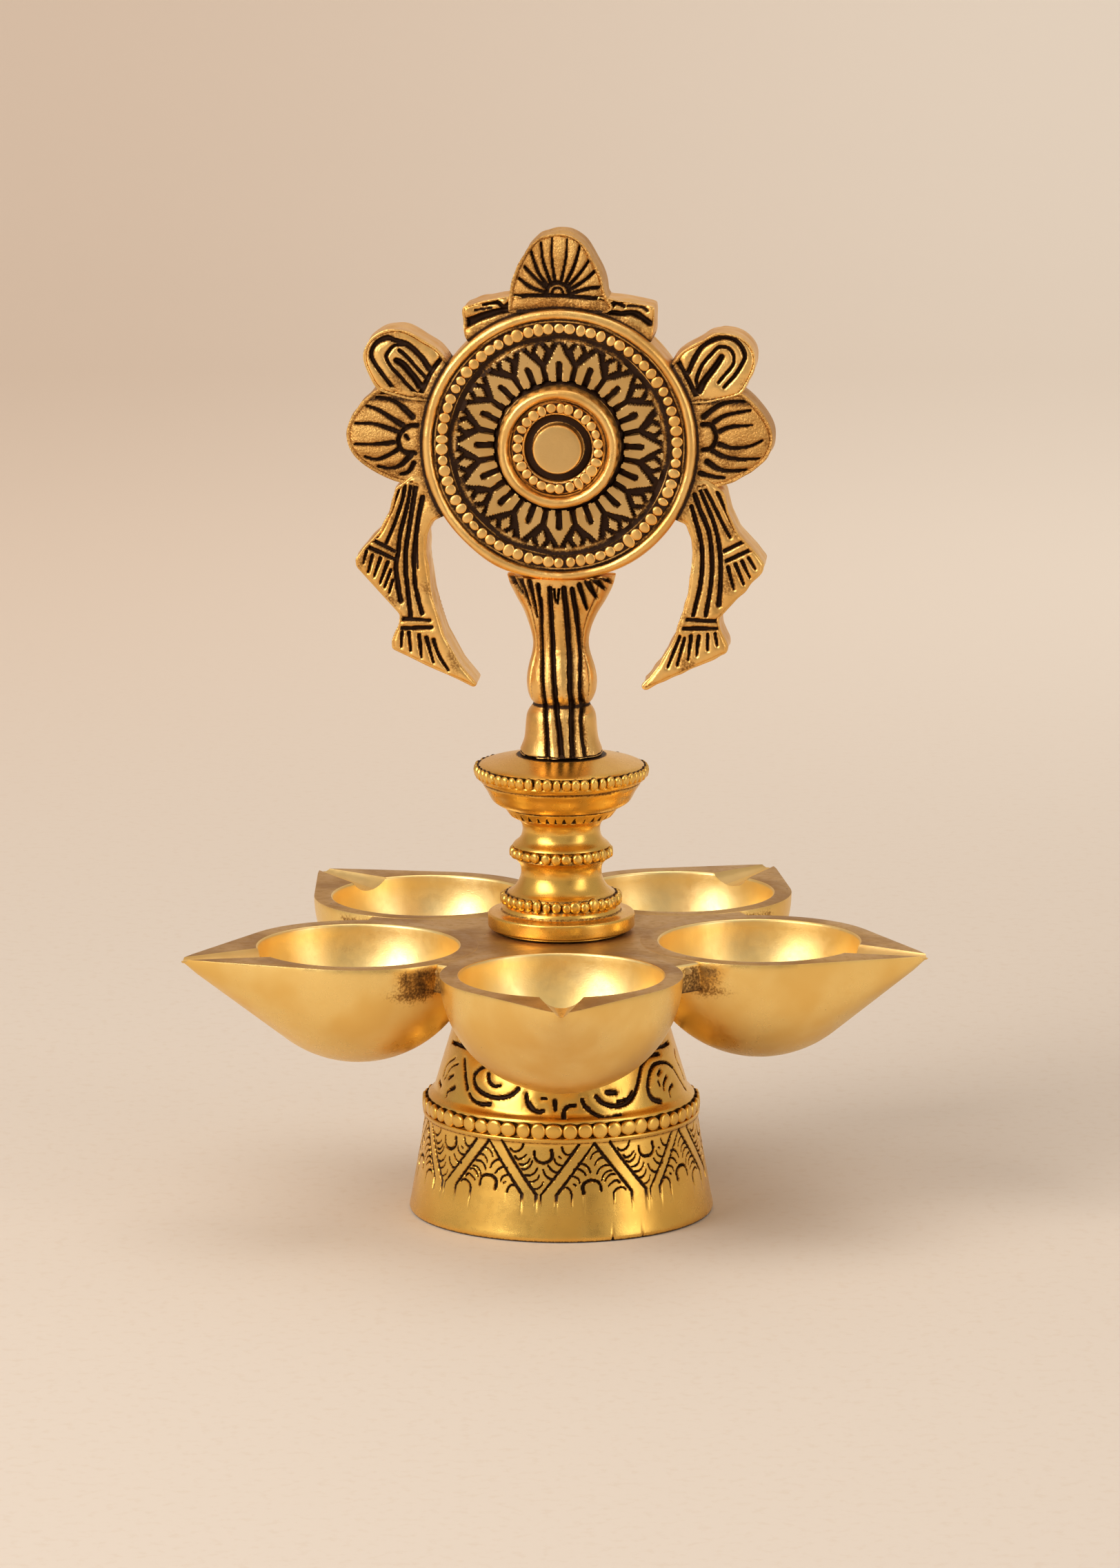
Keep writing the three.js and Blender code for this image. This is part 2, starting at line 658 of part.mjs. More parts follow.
/** An ear: a round lobe on a tongue that grows out of the wheel's rim. */
function makeEar(side) {
  const angle = deg(earAngle);
  const inner = wheelRadius - rootInset;
  const along = new THREE.Vector2(side * -Math.cos(angle), Math.sin(angle));
  const across = new THREE.Vector2(-along.y, along.x);
  const at = (u, v) => along.clone().multiplyScalar(u).addScaledVector(across, v);
  const outline = new THREE.Shape();
  const points = [at(inner, -earRadius), at(earReach, -earRadius)];
  for (let i = 1; i < 7; i++) {
    const sweep = -Math.PI / 2 + (i / 7) * Math.PI;
    points.push(at(earReach + earRadius * Math.cos(sweep), earRadius * Math.sin(sweep)));
  }
  points.push(at(earReach, earRadius), at(inner, earRadius));
  outline.setFromPoints(points);
  const lobe = plate(outline, sideHalf);
  const dimples = [1, -1].map((face) => {
    const centre = at(earReach, 0);
    return bead(earRadius * 0.3, new THREE.Vector3(centre.x, face * sideHalf, centre.y), new THREE.Vector3(0, 1, 0), 8);
  });
  return lobe.subtract(wasm.Manifold.union(dimples));
}

/** A side shell: a half ellipse with fanning grooves, standing on the wheel's rim. */
function makeSideShell(side) {
  const angle = deg(sideShellAngle);
  const root = wheelRadius - sideShellInset;
  const centre = new THREE.Vector2(side * -Math.cos(angle) * root, Math.sin(angle) * root);
  const outline = new THREE.Shape();
  const points = [];
  for (let i = 0; i <= 12; i++) {
    const sweep = -Math.PI / 2 + (i / 12) * Math.PI;
    const out = sideShellReach * Math.cos(sweep);
    points.push(new THREE.Vector2(centre.x + side * out, centre.y + sideShellHalfHeight * Math.sin(sweep)));
  }
  points.push(new THREE.Vector2(centre.x - side * 4, centre.y + sideShellHalfHeight));
  points.push(new THREE.Vector2(centre.x - side * 4, centre.y - sideShellHalfHeight));
  outline.setFromPoints(points);
  const middle = side > 0 ? 0 : Math.PI;
  const reachAt = (heading) => {
    const c = Math.cos(heading - middle) / (sideShellReach - 1.2);
    const s = Math.sin(heading - middle) / (sideShellHalfHeight - 1.2);
    return 1 / Math.hypot(c, s);
  };
  return plate(outline, sideHalf).subtract(shellCutters(centre, reachAt, middle - deg(72), middle + deg(72)));
}

/** Outline of one hanging ribbon, from the wheel's rim down to its pointed hem. */
function ribbonOutline(side) {
  const rim = (angle) => [
    side * -Math.cos(deg(angle)) * (wheelRadius - rootInset),
    Math.sin(deg(angle)) * (wheelRadius - rootInset),
  ];
  const outline = new THREE.Shape();
  const rootOuter = [side * (ribbonElbowOut - 8.2), -9];
  outline.moveTo(...rim(ribbonRootAngle));
  outline.lineTo(...rootOuter);
  outline.quadraticCurveTo(side * (ribbonElbowOut - 7), -ribbonElbowDrop * 0.75, side * ribbonElbowOut, -ribbonElbowDrop);
  outline.lineTo(side * ribbonNotchOut, -ribbonNotchDrop);
  outline.lineTo(side * ribbonHemOut, -ribbonHemDrop);
  outline.lineTo(side * ribbonTipOut, -ribbonTipDrop);
  outline.quadraticCurveTo(
    side * (ribbonInnerOut - 1.6), -ribbonNotchDrop - 1.7,
    side * ribbonInnerOut, -ribbonInnerDrop,
  );
  outline.lineTo(side * (ribbonInnerOut - 0.6), -ribbonInnerDrop + 5.4);
  outline.lineTo(...rim(ribbonInnerAngle));
  return outline;
}

/** A hanging ribbon with two raised bands across it. */
function makeRibbon(side) {
  const ribbon = plate(ribbonOutline(side), sideHalf, castBevel, 3);
  const proud = plate(ribbonOutline(side), sideHalf + ribbonBandRise, castBevel, 3);
  const slabs = [];
  const bands = [
    { out: ribbonElbowOut - 8, drop: ribbonElbowDrop - 0.6, lean: 38 },
    { out: (ribbonHemOut + ribbonTipOut) / 2 + 2, drop: ribbonHemDrop - 1.4, lean: 27 },
  ];
  for (const { out, drop, lean } of bands) {
    const slab = new THREE.BoxGeometry(40, 4 * sideHalf, ribbonBandWidth);
    slab.rotateY(deg(side * lean)).translate(side * out, 0, -drop);
    slabs.push(solid(slab));
  }
  return ribbon.add(proud.intersect(wasm.Manifold.union(slabs)));
}

/** The whole emblem as one casting, standing on z = 0 with the stud's hole in its foot. */
function makeEmblem() {
  const head = wasm.Manifold.union([
    makeWheel(),
    makeCrest(),
    makeEar(1),
    makeEar(-1),
    makeSideShell(1),
    makeSideShell(-1),
    makeRibbon(1),
    makeRibbon(-1),
  ]).translate([0, 0, wheelHeight]);
  const bore = turned([
    [0, -1],
    [crownStudRadius + studGap, -1],
    [crownStudRadius + studGap, socketHeight],
    [0, socketHeight],
  ], 20);
  return makePillar().subtract(bore).add(head);
}

/** Brass in one of the finishes seen on the lamp. */
function brass(name, color, roughness) {
  return new THREE.MeshStandardMaterial({ name, color, roughness, metalness: 1 });
}

/** A named mesh of one piece at its height on the lamp's axis. */
function piece(name, body, height, material, turn = 0) {
  const mesh = new THREE.Mesh(geometryOf(body), material);
  mesh.name = name;
  mesh.position.z = height;
  mesh.rotation.z = deg(turn);
  return mesh;
}

const polished = brass('polished_brass', 0xd8a24a, 0.22);
const satin = brass('satin_brass', 0xd6a552, 0.38);
const cast = brass('cast_brass', 0xc8953f, 0.3);
const threaded = brass('threaded_brass', 0xb98a3c, 0.45);

const studFoot = pedestalHeight - threadPitch * threadTurns;
const crownStudLength = crownStudDepth + seatGap + socketHeight - studGap;

// The lamp's axis stands off the origin, so that the origin is under the middle of its box
const tray = piece('cup_tray', makeTray(), 0, satin, trayTurn);
const trayMiddle = new THREE.Box3().setFromObject(tray, true).getCenter(new THREE.Vector3());

const lamp = new THREE.Group();
lamp.name = 'five_wick_lamp';
lamp.position.set(-trayMiddle.x, -trayMiddle.y, 0);
lamp.add(
  piece('pedestal', makePedestal(), 0, polished),
  tray,
  piece('tie_stud', makeStud(studRadius, studLength), studFoot, threaded),
  piece('baluster', makeBaluster(), balusterBase, polished),
  piece('crown_stud', makeStud(crownStudRadius, crownStudLength), emblemBase - seatGap - crownStudDepth, threaded),
  piece('emblem', makeEmblem(), emblemBase, cast, emblemTurn),
);

export default lamp;
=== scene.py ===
"""Five-wick brass lamp, remodelled in full detail over its CAD frame.

Every piece is modelled in millimetres about the lamp's own axis (or the wheel's centre) and is then set
down in the shared frame in metres. Cuts are vertex moves, and each cut darkens an attribute called patina.
"""

import logging
import math
from contextlib import contextmanager
from dataclasses import dataclass, field, replace
from enum import Enum
from typing import Callable, Iterator, Sequence

import bpy
import numpy as np
from mathutils import Euler, Matrix, Vector


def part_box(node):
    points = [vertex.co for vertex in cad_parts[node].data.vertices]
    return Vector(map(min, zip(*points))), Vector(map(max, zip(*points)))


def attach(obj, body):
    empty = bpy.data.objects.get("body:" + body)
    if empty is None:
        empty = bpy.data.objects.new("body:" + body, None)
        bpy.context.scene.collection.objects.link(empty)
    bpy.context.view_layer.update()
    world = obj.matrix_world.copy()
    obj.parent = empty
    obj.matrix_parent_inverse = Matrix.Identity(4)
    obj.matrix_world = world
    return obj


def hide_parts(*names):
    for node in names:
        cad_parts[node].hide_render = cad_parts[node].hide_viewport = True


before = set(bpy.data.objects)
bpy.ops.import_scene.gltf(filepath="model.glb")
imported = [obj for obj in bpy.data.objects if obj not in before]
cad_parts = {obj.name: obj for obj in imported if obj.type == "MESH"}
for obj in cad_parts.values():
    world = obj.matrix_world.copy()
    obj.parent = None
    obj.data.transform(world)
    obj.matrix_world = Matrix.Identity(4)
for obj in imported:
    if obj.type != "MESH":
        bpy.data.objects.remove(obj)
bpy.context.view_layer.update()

log = logging.getLogger("lamp")
logging.basicConfig(level=logging.INFO, format="%(message)s")

MM = 0.001
ALL_SMOOTH = 180.0
PATINA = "patina"
Point = tuple
Path = Sequence[Point]


class Body(Enum):
    """Bodies of the CAD frame that a piece can ride on."""

    BASE = "base"
    TRAY = "tray"
    STUD = "stud"
    STEM = "stem"


class Slot(Enum):
    """Material slots of the record."""

    POLISHED = "polished_brass"
    SATIN = "satin_brass"
    CAST = "cast_brass"
    THREADED = "threaded_brass"


# Shapes in the plane


def rounded(points: Path, parts: int = 3) -> list:
    """Round the corners of an open profile.

    Args:
        points: (r, z) pairs, or (r, z, fillet) where a corner is rounded.
        parts: Steps in each rounded corner.

    Returns:
        The profile as (r, z) pairs.
    """
    out = []
    for i, corner in enumerate(points):
        here = np.array(corner[:2], float)
        fillet = corner[2] if len(corner) > 2 else 0.0
        if not fillet or i in (0, len(points) - 1):
            out.append(tuple(here))
            continue
        before = np.array(points[i - 1][:2], float) - here
        after = np.array(points[i + 1][:2], float) - here
        first = here + before * min(0.48, fillet / np.linalg.norm(before))
        last = here + after * min(0.48, fillet / np.linalg.norm(after))
        for k in range(parts + 1):
            t = k / parts
            out.append(tuple((1 - t) ** 2 * first + 2 * t * (1 - t) * here + t * t * last))
    return out


def dense(points: Path, step: Callable[[float, float], float], closed: bool = False) -> list:
    """Add points to a profile so that none are further apart than a step.

    Args:
        points: The profile.
        step: Longest spacing allowed at a place of the profile.
        closed: True if the last point runs back to the first.

    Returns:
        The finer profile.
    """
    ends = list(points[1:]) + ([points[0]] if closed else [])
    out = [points[0]]
    for i, end in enumerate(ends):
        start = points[i]
        length = math.dist(start, end)
        count = max(1, math.ceil(length / step((start[0] + end[0]) / 2, (start[1] + end[1]) / 2) - 1e-6))
        last = closed and i == len(ends) - 1
        for k in range(1, count if last else count + 1):
            t = k / count
            out.append((start[0] + (end[0] - start[0]) * t, start[1] + (end[1] - start[1]) * t))
    return out


def smooth_path(points: Path, parts: int = 4) -> np.ndarray:
    """Points on a Catmull-Rom curve through the points of a path."""
    p = np.array(points, float)
    if len(p) < 3:
        return p
    ends = np.vstack([2 * p[0] - p[1], p, 2 * p[-1] - p[-2]])
    out = []
    for i in range(1, len(ends) - 2):
        a, b, c, d = ends[i - 1 : i + 3]
        square = 2 * a - 5 * b + 4 * c - d
        cube = 3 * b - a - 3 * c + d
        for k in range(parts):
            t = k / parts
            out.append(0.5 * (2 * b + (c - a) * t + square * t**2 + cube * t**3))
    out.append(p[-1])
    return np.array(out)


def path_distance(u: np.ndarray, v: np.ndarray, path: np.ndarray) -> tuple:
    """Distance of each place (u, v) from a path, and how far along the path its nearest point is, 0 to 1."""
    best = np.full(u.shape, 1e9)
    along = np.zeros(u.shape)
    lengths = np.linalg.norm(np.diff(path, axis=0), axis=1)
    total = max(lengths.sum(), 1e-9)
    run = 0.0
    for (au, av), (bu, bv), length in zip(path[:-1], path[1:], lengths):
        du, dv = bu - au, bv - av
        t = np.clip(((u - au) * du + (v - av) * dv) / max(length**2, 1e-12), 0, 1)
        d = np.hypot(u - au - t * du, v - av - t * dv)
        closer = d < best
        best = np.where(closer, d, best)
        along = np.where(closer, (run + t * length) / total, along)
        run += length
    return best, along


def ease(x: np.ndarray, low: float, high: float) -> np.ndarray:
    """Smooth step from 0 at low to 1 at high."""
    t = np.clip((x - low) / (high - low), 0, 1)
    return t * t * (3 - 2 * t)


def bell(x: np.ndarray, width: float) -> np.ndarray:
    """A bell curve, 1 at 0 and nearly gone at twice its width."""
    return np.exp(-((x / width) ** 2))


def hollow(x: np.ndarray, half: float) -> np.ndarray:
    """A round-bottomed hollow, 1 in the middle and 0 beyond its half width."""
    return np.clip(1 - (x / half) ** 2, 0, 1)


def off(angle: np.ndarray, middle: float) -> np.ndarray:
    """Degrees by which bearings are off a middle one, -180 to 180."""
    return (angle - middle + 180) % 360 - 180


def waves(x: np.ndarray, y: np.ndarray, seed: int, count: int = 7, scale: float = 1.0) -> np.ndarray:
    """A gentle irregular field of about -1 to 1, made of a few waves with fixed seeds."""
    rng = np.random.default_rng(seed)
    total = np.zeros(np.broadcast(x, y).shape)
    for _ in range(count):
        angle, phase = rng.uniform(0, 2 * math.pi, 2)
        pitch = scale * rng.uniform(0.6, 1.8)
        total += np.sin((x * math.cos(angle) + y * math.sin(angle)) * pitch + phase)
    return total / math.sqrt(count)


# Meshes


def only(piece: bpy.types.Object) -> None:
    """Leave one object selected and active."""
    bpy.ops.object.select_all(action="DESELECT")
    piece.select_set(True)
    bpy.context.view_layer.objects.active = piece


@contextmanager
def editing() -> Iterator[None]:
    """Edit mode for the active mesh, and object mode again afterwards."""
    bpy.ops.object.mode_set(mode="EDIT")
    yield
    bpy.ops.object.mode_set(mode="OBJECT")


def chain(points: Sequence) -> list:
    """Edges that join points in a row."""
    return [(i, i + 1) for i in range(len(points) - 1)]


def new_mesh(name: str, points: Sequence, edges: Sequence = (), faces: Sequence = ()) -> bpy.types.Object:
    """A new object from a few points, edges and faces that an operator goes on to shape."""
    mesh = bpy.data.meshes.new(name)
    mesh.from_pydata(list(points), list(edges), list(faces))
    piece = bpy.data.objects.new(name, mesh)
    bpy.context.scene.collection.objects.link(piece)
    only(piece)
    return piece


def close_up(threshold: float = 2e-4) -> None:
    """Merge doubles of the mesh that is open in edit mode and turn its faces outwards."""
    bpy.ops.mesh.select_all(action="SELECT")
    bpy.ops.mesh.remove_doubles(threshold=threshold)
    bpy.ops.mesh.normals_make_consistent(inside=False)


def turned(name: str, profile: Path, steps: int) -> bpy.types.Object:
    """Turn a profile about Z.

    Args:
        name: Name of the piece.
        profile: (r, z) pairs. It closes on itself unless it starts on the axis.
        steps: Steps in the full turn.

    Returns:
        The turned piece.
    """
    edges = chain(profile)
    if profile[0][0] > 1e-6:
        edges.append((len(profile) - 1, 0))
    piece = new_mesh(name, [(r, 0, z) for r, z in profile], edges)
    turning = piece.modifiers.new("turning", "SCREW")
    turning.angle = 2 * math.pi
    turning.steps = turning.render_steps = steps
    turning.use_merge_vertices = True
    turning.merge_threshold = 1e-4
    bpy.ops.object.modifier_apply(modifier=turning.name)
    with editing():
        close_up()
    return piece


def rows(items: bpy.types.bpy_prop_collection, name: str) -> np.ndarray:
    """A vector that each item of a mesh has, such as a face's normal, as rows."""
    values = np.empty(len(items) * 3)
    items.foreach_get(name, values)
    return values.reshape(-1, 3)


def read(mesh: bpy.types.Mesh) -> np.ndarray:
    """Places of a mesh's vertices as rows."""
    return rows(mesh.vertices, "co")


def write(mesh: bpy.types.Mesh, co: np.ndarray) -> None:
    """Put a mesh's vertices at new places."""
    mesh.vertices.foreach_set("co", np.ascontiguousarray(co).ravel())
    mesh.update()


def set_patina(mesh: bpy.types.Mesh, values: np.ndarray) -> None:
    """Store how dark each vertex has gone, 0 to 1."""
    layer = mesh.attributes.get(PATINA) or mesh.attributes.new(PATINA, "FLOAT", "POINT")
    layer.data.foreach_set("value", np.ascontiguousarray(values))


def joined(name: str, parts: Sequence[bpy.types.Object]) -> bpy.types.Object:
    """Join several objects into one mesh."""
    only(parts[0])
    for part in parts:
        part.select_set(True)
    bpy.ops.object.join()
    parts[0].name = name
    parts[0].data.name = name
    return parts[0]


def cut(piece: bpy.types.Object, tool: bpy.types.Object, operation: str = "DIFFERENCE") -> None:
    """Cut a tool out of a piece, or add it, and throw the tool away."""
    only(piece)
    modifier = piece.modifiers.new("shape", "BOOLEAN")
    modifier.operation = operation
    modifier.solver = "MANIFOLD"
    modifier.object = tool
    bpy.ops.object.modifier_apply(modifier=modifier.name)
    bpy.data.objects.remove(tool)


@dataclass(frozen=True)
class Stroke:
    """One cut of a graver.

    path: points of the cut in the plane of the work, in millimetres.
    start, end: half widths at both ends. depth: at the middle. dirt: how dark the cut has gone, 0 to 1.
    shoulder: how far the metal beside the cut falls away towards it. halo: dirt that creeps out beside it.
    """

    path: Path
    start: float = 0.32
    end: float = 0.32
    depth: float = 0.7
    dirt: float = 1.0
    shoulder: float = 0.0
    halo: float = 0.24

    def bold(self, start: float, end: float, **changes) -> "Stroke":
        """The same cut with its ends widened by factors, and with other changes."""
        return replace(self, start=self.start * start, end=self.end * end, **changes)


class Relief:
    """Cuts, dirt and painted shade gathered for the vertices of one piece, and made in one go.

    margin: how far beyond its path a stroke can reach, in millimetres.
    """

    margin: float = 1.5

    def __init__(self, piece: bpy.types.Object) -> None:
        """Read the piece's vertices and the way that each one faces."""
        self.piece = piece
        self.co = read(piece.data)
        self.normal = rows(piece.data.vertex_normals, "vector")
        self.depth = np.zeros(len(self.co))
        self.rise = np.zeros(len(self.co))
        self.patina = np.zeros(len(self.co))

    def polar(self) -> tuple:
        """Distance of each vertex from the Z axis, and its bearing from the front in radians."""
        x, y, _ = self.co.T
        return np.hypot(x, y), np.arctan2(x, -y)

    def groove(self, distance: np.ndarray, half: float, depth: float, dirt: float, mask: np.ndarray) -> None:
        """Sink a round-bottomed groove.

        Args:
            distance: Distance of each vertex from the groove's middle line.
            half: Half width of the groove.
            depth: Depth at the middle line.
            dirt: Patina in the groove.
            mask: Share of the groove that is cut at each vertex.
        """
        bowl = hollow(distance, half)
        self.depth = np.maximum(self.depth, depth * np.sqrt(bowl) * mask)
        self.patina = np.maximum(self.patina, dirt * ease(bowl, 0.0, 0.45) * mask)

    def stroke(self, u: np.ndarray, v: np.ndarray, stroke: Stroke, mask: np.ndarray) -> None:
        """Sink one graver's cut that lies in the plane (u, v), by the share that a mask gives each vertex."""
        path = smooth_path(stroke.path)
        low = path.min(0) - self.margin
        high = path.max(0) + self.margin
        spots = np.flatnonzero((u > low[0]) & (u < high[0]) & (v > low[1]) & (v < high[1]))
        if not len(spots):
            return
        distance, along = path_distance(u[spots], v[spots], path)
        ragged = 1 + 0.09 * waves(u[spots], v[spots], 5, 5, 1.7)
        half = (stroke.start + (stroke.end - stroke.start) * along) * ragged
        share = mask[spots]
        bowl = hollow(distance, half)
        shoulder = stroke.shoulder * bell(distance, 2.3 * half)
        self.depth[spots] = np.maximum(self.depth[spots], (stroke.depth * np.sqrt(bowl) + shoulder) * share)
        halo = stroke.halo * bell(distance, 1.7 * half)
        dark = np.maximum(ease(bowl, 0.0, 0.55), halo) * stroke.dirt * share
        self.patina[spots] = np.maximum(self.patina[spots], dark)

    def sink(self, amount: np.ndarray) -> None:
        """Sink a field of depths, deepest wins."""
        self.depth = np.maximum(self.depth, amount)

    def darken(self, amount: np.ndarray) -> None:
        """Darken a field of places, darkest wins."""
        self.patina = np.maximum(self.patina, amount)

    def apply(self) -> None:
        """Move the vertices in by their depth, or out by their rise, along their own normals."""
        write(self.piece.data, self.co - self.normal * (self.depth - self.rise)[:, None])
        set_patina(self.piece.data, self.patina)


# Materials


@dataclass(frozen=True)
class BrassFinish:
    """How one surface of the brass was worked.

    base, shade: linear colours that the metal drifts between.
    rough: roughness, and rough_drift how much it varies.
    wobble: depth in millimetres of the slow waves left by hand work, over wobble_size millimetres.
    grain: depth of the fine grain over grain_size. pits: share of the surface with pits.
    scratches: strength of fine scratches, and scratch_axis the way they run.
    smears: strength of brown smears. stipple: depth in millimetres of the fine dots of a cast ground.
    """

    base: tuple = (0.88, 0.57, 0.18)
    shade: tuple = (0.78, 0.45, 0.115)
    rough: float = 0.3
    rough_drift: float = 0.1
    wobble: float = 0.05
    wobble_size: float = 9.0
    grain: float = 0.003
    grain_size: float = 0.35
    pits: float = 0.25
    scratches: float = 0.4
    scratch_axis: tuple = (0.15, 1.0, 1.0)
    smears: float = 0.22
    stipple: float = 0.0


Socket = bpy.types.NodeSocket
Value = Socket | float | tuple

EDGE_TARNISH = (0.36, 0.15, 0.03)
DEEP_TARNISH = (0.034, 0.0125, 0.0036)
PIT_COLOUR = (0.16, 0.06, 0.015)
PIT_SPACING = 1.7
PIT_DEPTH = 0.06
SCRATCH_DEPTH = 0.012


class Graph:
    """Short names for building a material's nodes."""

    def __init__(self, name: str) -> None:
        """A new node material with a Principled shader."""
        self.material = bpy.data.materials.new(name)
        self.material.use_nodes = True
        self.tree = self.material.node_tree
        self.shader = self.tree.nodes["Principled BSDF"]

    def add(self, kind: str, **settings) -> bpy.types.Node:
        """Add a node. Settings are its properties, and those that begin with in_ are its inputs' values."""
        node = self.tree.nodes.new("ShaderNode" + kind)
        for key, value in settings.items():
            if key.startswith("in_"):
                node.inputs[key[3:].replace("_", " ")].default_value = value
            else:
                setattr(node, key, value)
        return node

    def link(self, source: Socket, target: Socket) -> None:
        """Join an output to an input."""
        self.tree.links.new(source, target)

    def coordinates(self, scale: tuple = (1, 1, 1)) -> Socket:
        """Object coordinates in millimetres, stretched by a scale."""
        if not hasattr(self, "object_output"):
            self.object_output = self.add("TexCoord").outputs["Object"]
        mapping = self.add("Mapping", in_Scale=tuple(1000 * s for s in scale))
        self.link(self.object_output, mapping.inputs["Vector"])
        return mapping.outputs["Vector"]

    def noise(self, size: float, detail: float = 3, scale: tuple = (1, 1, 1), rough: float = 0.55) -> Socket:
        """A noise whose features are about size millimetres wide."""
        node = self.add("TexNoise", in_Scale=1 / size, in_Detail=detail, in_Roughness=rough)
        self.link(self.coordinates(scale), node.inputs["Vector"])
        return node.outputs["Fac"]

    def remap(
        self, value: Socket, low: float, high: float, to_low: float = 0.0, to_high: float = 1.0
    ) -> Socket:
        """Carry a range of a value to another range, with its ends clamped."""
        node = self.add("MapRange", interpolation_type="SMOOTHSTEP")
        for key, number in (("From Min", low), ("From Max", high), ("To Min", to_low), ("To Max", to_high)):
            node.inputs[key].default_value = number
        self.link(value, node.inputs["Value"])
        return node.outputs["Result"]

    def math(self, operation: str, a: Value, b: Value) -> Socket:
        """A sum or other operation on two values."""
        node = self.add("Math", operation=operation)
        for socket, value in zip(node.inputs, (a, b)):
            if isinstance(value, (int, float)):
                socket.default_value = value
            else:
                self.link(value, socket)
        return node.outputs[0]

    def mix(self, factor: Value, a: Value, b: Value) -> Socket:
        """A mix of two colours."""
        node = self.add("Mix", data_type="RGBA")
        for index, value in ((0, factor), (6, a), (7, b)):
            socket = node.inputs[index]
            if isinstance(value, (int, float)):
                socket.default_value = value
            elif isinstance(value, tuple):
                socket.default_value = (*value, 1.0)
            else:
                self.link(value, socket)
        return node.outputs[2]

    def bump(self, height: Socket, distance: float, under: Socket | None = None) -> Socket:
        """A bump of a distance in millimetres, laid over another one."""
        node = self.add("Bump", in_Strength=1.0, in_Distance=distance * MM)
        self.link(height, node.inputs["Height"])
        if under is not None:
            self.link(under, node.inputs["Normal"])
        return node.outputs["Normal"]


def brass(name: str, finish: BrassFinish) -> bpy.types.Material:
    """Brass with a finish, with dark tarnish where the patina attribute says.

    Args:
        name: Name of the material.
        finish: How the surface was worked.

    Returns:
        The material.
    """
    g = Graph(name)
    broad = g.noise(14, 2)
    mottle = g.noise(1.6, 5)
    fine = g.noise(0.45, 3)
    colour = g.mix(g.remap(broad, 0.38, 0.66), finish.base, finish.shade)
    colour = g.mix(g.math("MULTIPLY", g.remap(mottle, 0.52, 0.72), finish.smears), colour, finish.shade)
    # the patina attribute holds patina in the hollows, and also painted shade where the emblem's lobes meet
    # the wheel
    dark = g.add("Attribute", attribute_name=PATINA).outputs["Fac"]
    worn = g.math("SUBTRACT", dark, g.math("MULTIPLY", g.remap(fine, 0.35, 0.7), 0.22))
    dirt = g.remap(worn, 0.12, 0.55)
    edge_dirt = g.math("MULTIPLY", g.remap(worn, 0.0, 0.3), 0.75)
    colour = g.mix(edge_dirt, colour, EDGE_TARNISH)
    pit_cells = g.add("TexVoronoi", feature="F1", in_Scale=1 / PIT_SPACING, in_Randomness=1.0)
    g.link(g.coordinates(), pit_cells.inputs["Vector"])
    pit_here = g.remap(g.noise(5.5, 2), 0.5, 0.72)
    pit_size = g.math("MULTIPLY", pit_here, 0.16 * finish.pits)
    pit = g.math("LESS_THAN", pit_cells.outputs["Distance"], pit_size)
    colour = g.mix(g.math("MULTIPLY", pit, 0.8), colour, PIT_COLOUR)
    colour = g.mix(dirt, colour, DEEP_TARNISH)
    g.link(colour, g.shader.inputs["Base Color"])
    half_drift = finish.rough_drift / 2
    rough = g.remap(mottle, 0.3, 0.7, finish.rough - half_drift, finish.rough + half_drift)
    rough = g.math("ADD", rough, g.math("MULTIPLY", g.remap(broad, 0.35, 0.65), half_drift))
    rough = g.math("ADD", rough, g.math("MULTIPLY", edge_dirt, 0.3))
    g.link(rough, g.shader.inputs["Roughness"])
    g.link(g.math("SUBTRACT", 1.0, g.math("MULTIPLY", dirt, 0.3)), g.shader.inputs["Metallic"])
    normal = g.bump(g.noise(finish.wobble_size, 2, rough=0.4), finish.wobble * 6)
    normal = g.bump(g.noise(finish.grain_size, 4), finish.grain * 4, under=normal)
    scratch = g.noise(0.35, 3, finish.scratch_axis, 0.7)
    normal = g.bump(g.remap(scratch, 0.5, 0.78), SCRATCH_DEPTH * finish.scratches, under=normal)
    if finish.stipple:
        normal = g.bump(fine, finish.stipple, under=normal)
    normal = g.bump(pit, PIT_DEPTH, under=normal)
    g.link(normal, g.shader.inputs["Normal"])
    return g.material


POLISHED = BrassFinish(
    base=(0.88, 0.55, 0.13), shade=(0.82, 0.48, 0.1), rough=0.27, rough_drift=0.04, wobble=0.025, pits=0.1,
    scratches=0.3, smears=0.06,
)
OUTSIDE = BrassFinish(
    base=(0.96, 0.68, 0.24), shade=(0.9, 0.585, 0.17), rough=0.3, wobble=0.035, wobble_size=14, pits=0.45,
    scratches=0.3, smears=0.2,
)
SATIN = BrassFinish(
    base=(0.98, 0.77, 0.36), shade=(0.94, 0.69, 0.27), rough=0.38, rough_drift=0.08, wobble=0.04, pits=0.25,
    scratches=0.6, smears=0.15,
)
GROUND = BrassFinish(
    base=(0.6, 0.38, 0.14), shade=(0.4, 0.22, 0.07), rough=0.4, rough_drift=0.14, wobble=0.02,
    pits=0.9, scratches=1.6, scratch_axis=(0.08, 1.2, 1.0), smears=0.6,
)
# painted shade: a darker copy of the satin brass for the faces of the wick channels, and a little rougher
SHADED_SPOUT = replace(SATIN, base=(0.8, 0.57, 0.24), shade=(0.7, 0.46, 0.165), rough=0.42)
CAST = BrassFinish(
    base=(0.94, 0.59, 0.2), shade=(0.8, 0.45, 0.125), rough=0.31, rough_drift=0.1, wobble=0.07,
    wobble_size=4.5, grain=0.012, pits=0.5, scratches=0.4,
)
SHELL = replace(CAST, base=(0.72, 0.42, 0.13), shade=(0.56, 0.29, 0.078), rough=0.36, stipple=0.4)
PETAL = BrassFinish(
    base=(0.74, 0.48, 0.185), shade=(0.64, 0.39, 0.13), rough=0.4, rough_drift=0.06, wobble=0.01,
    grain=0.004, pits=0.25, scratches=0.8,
)
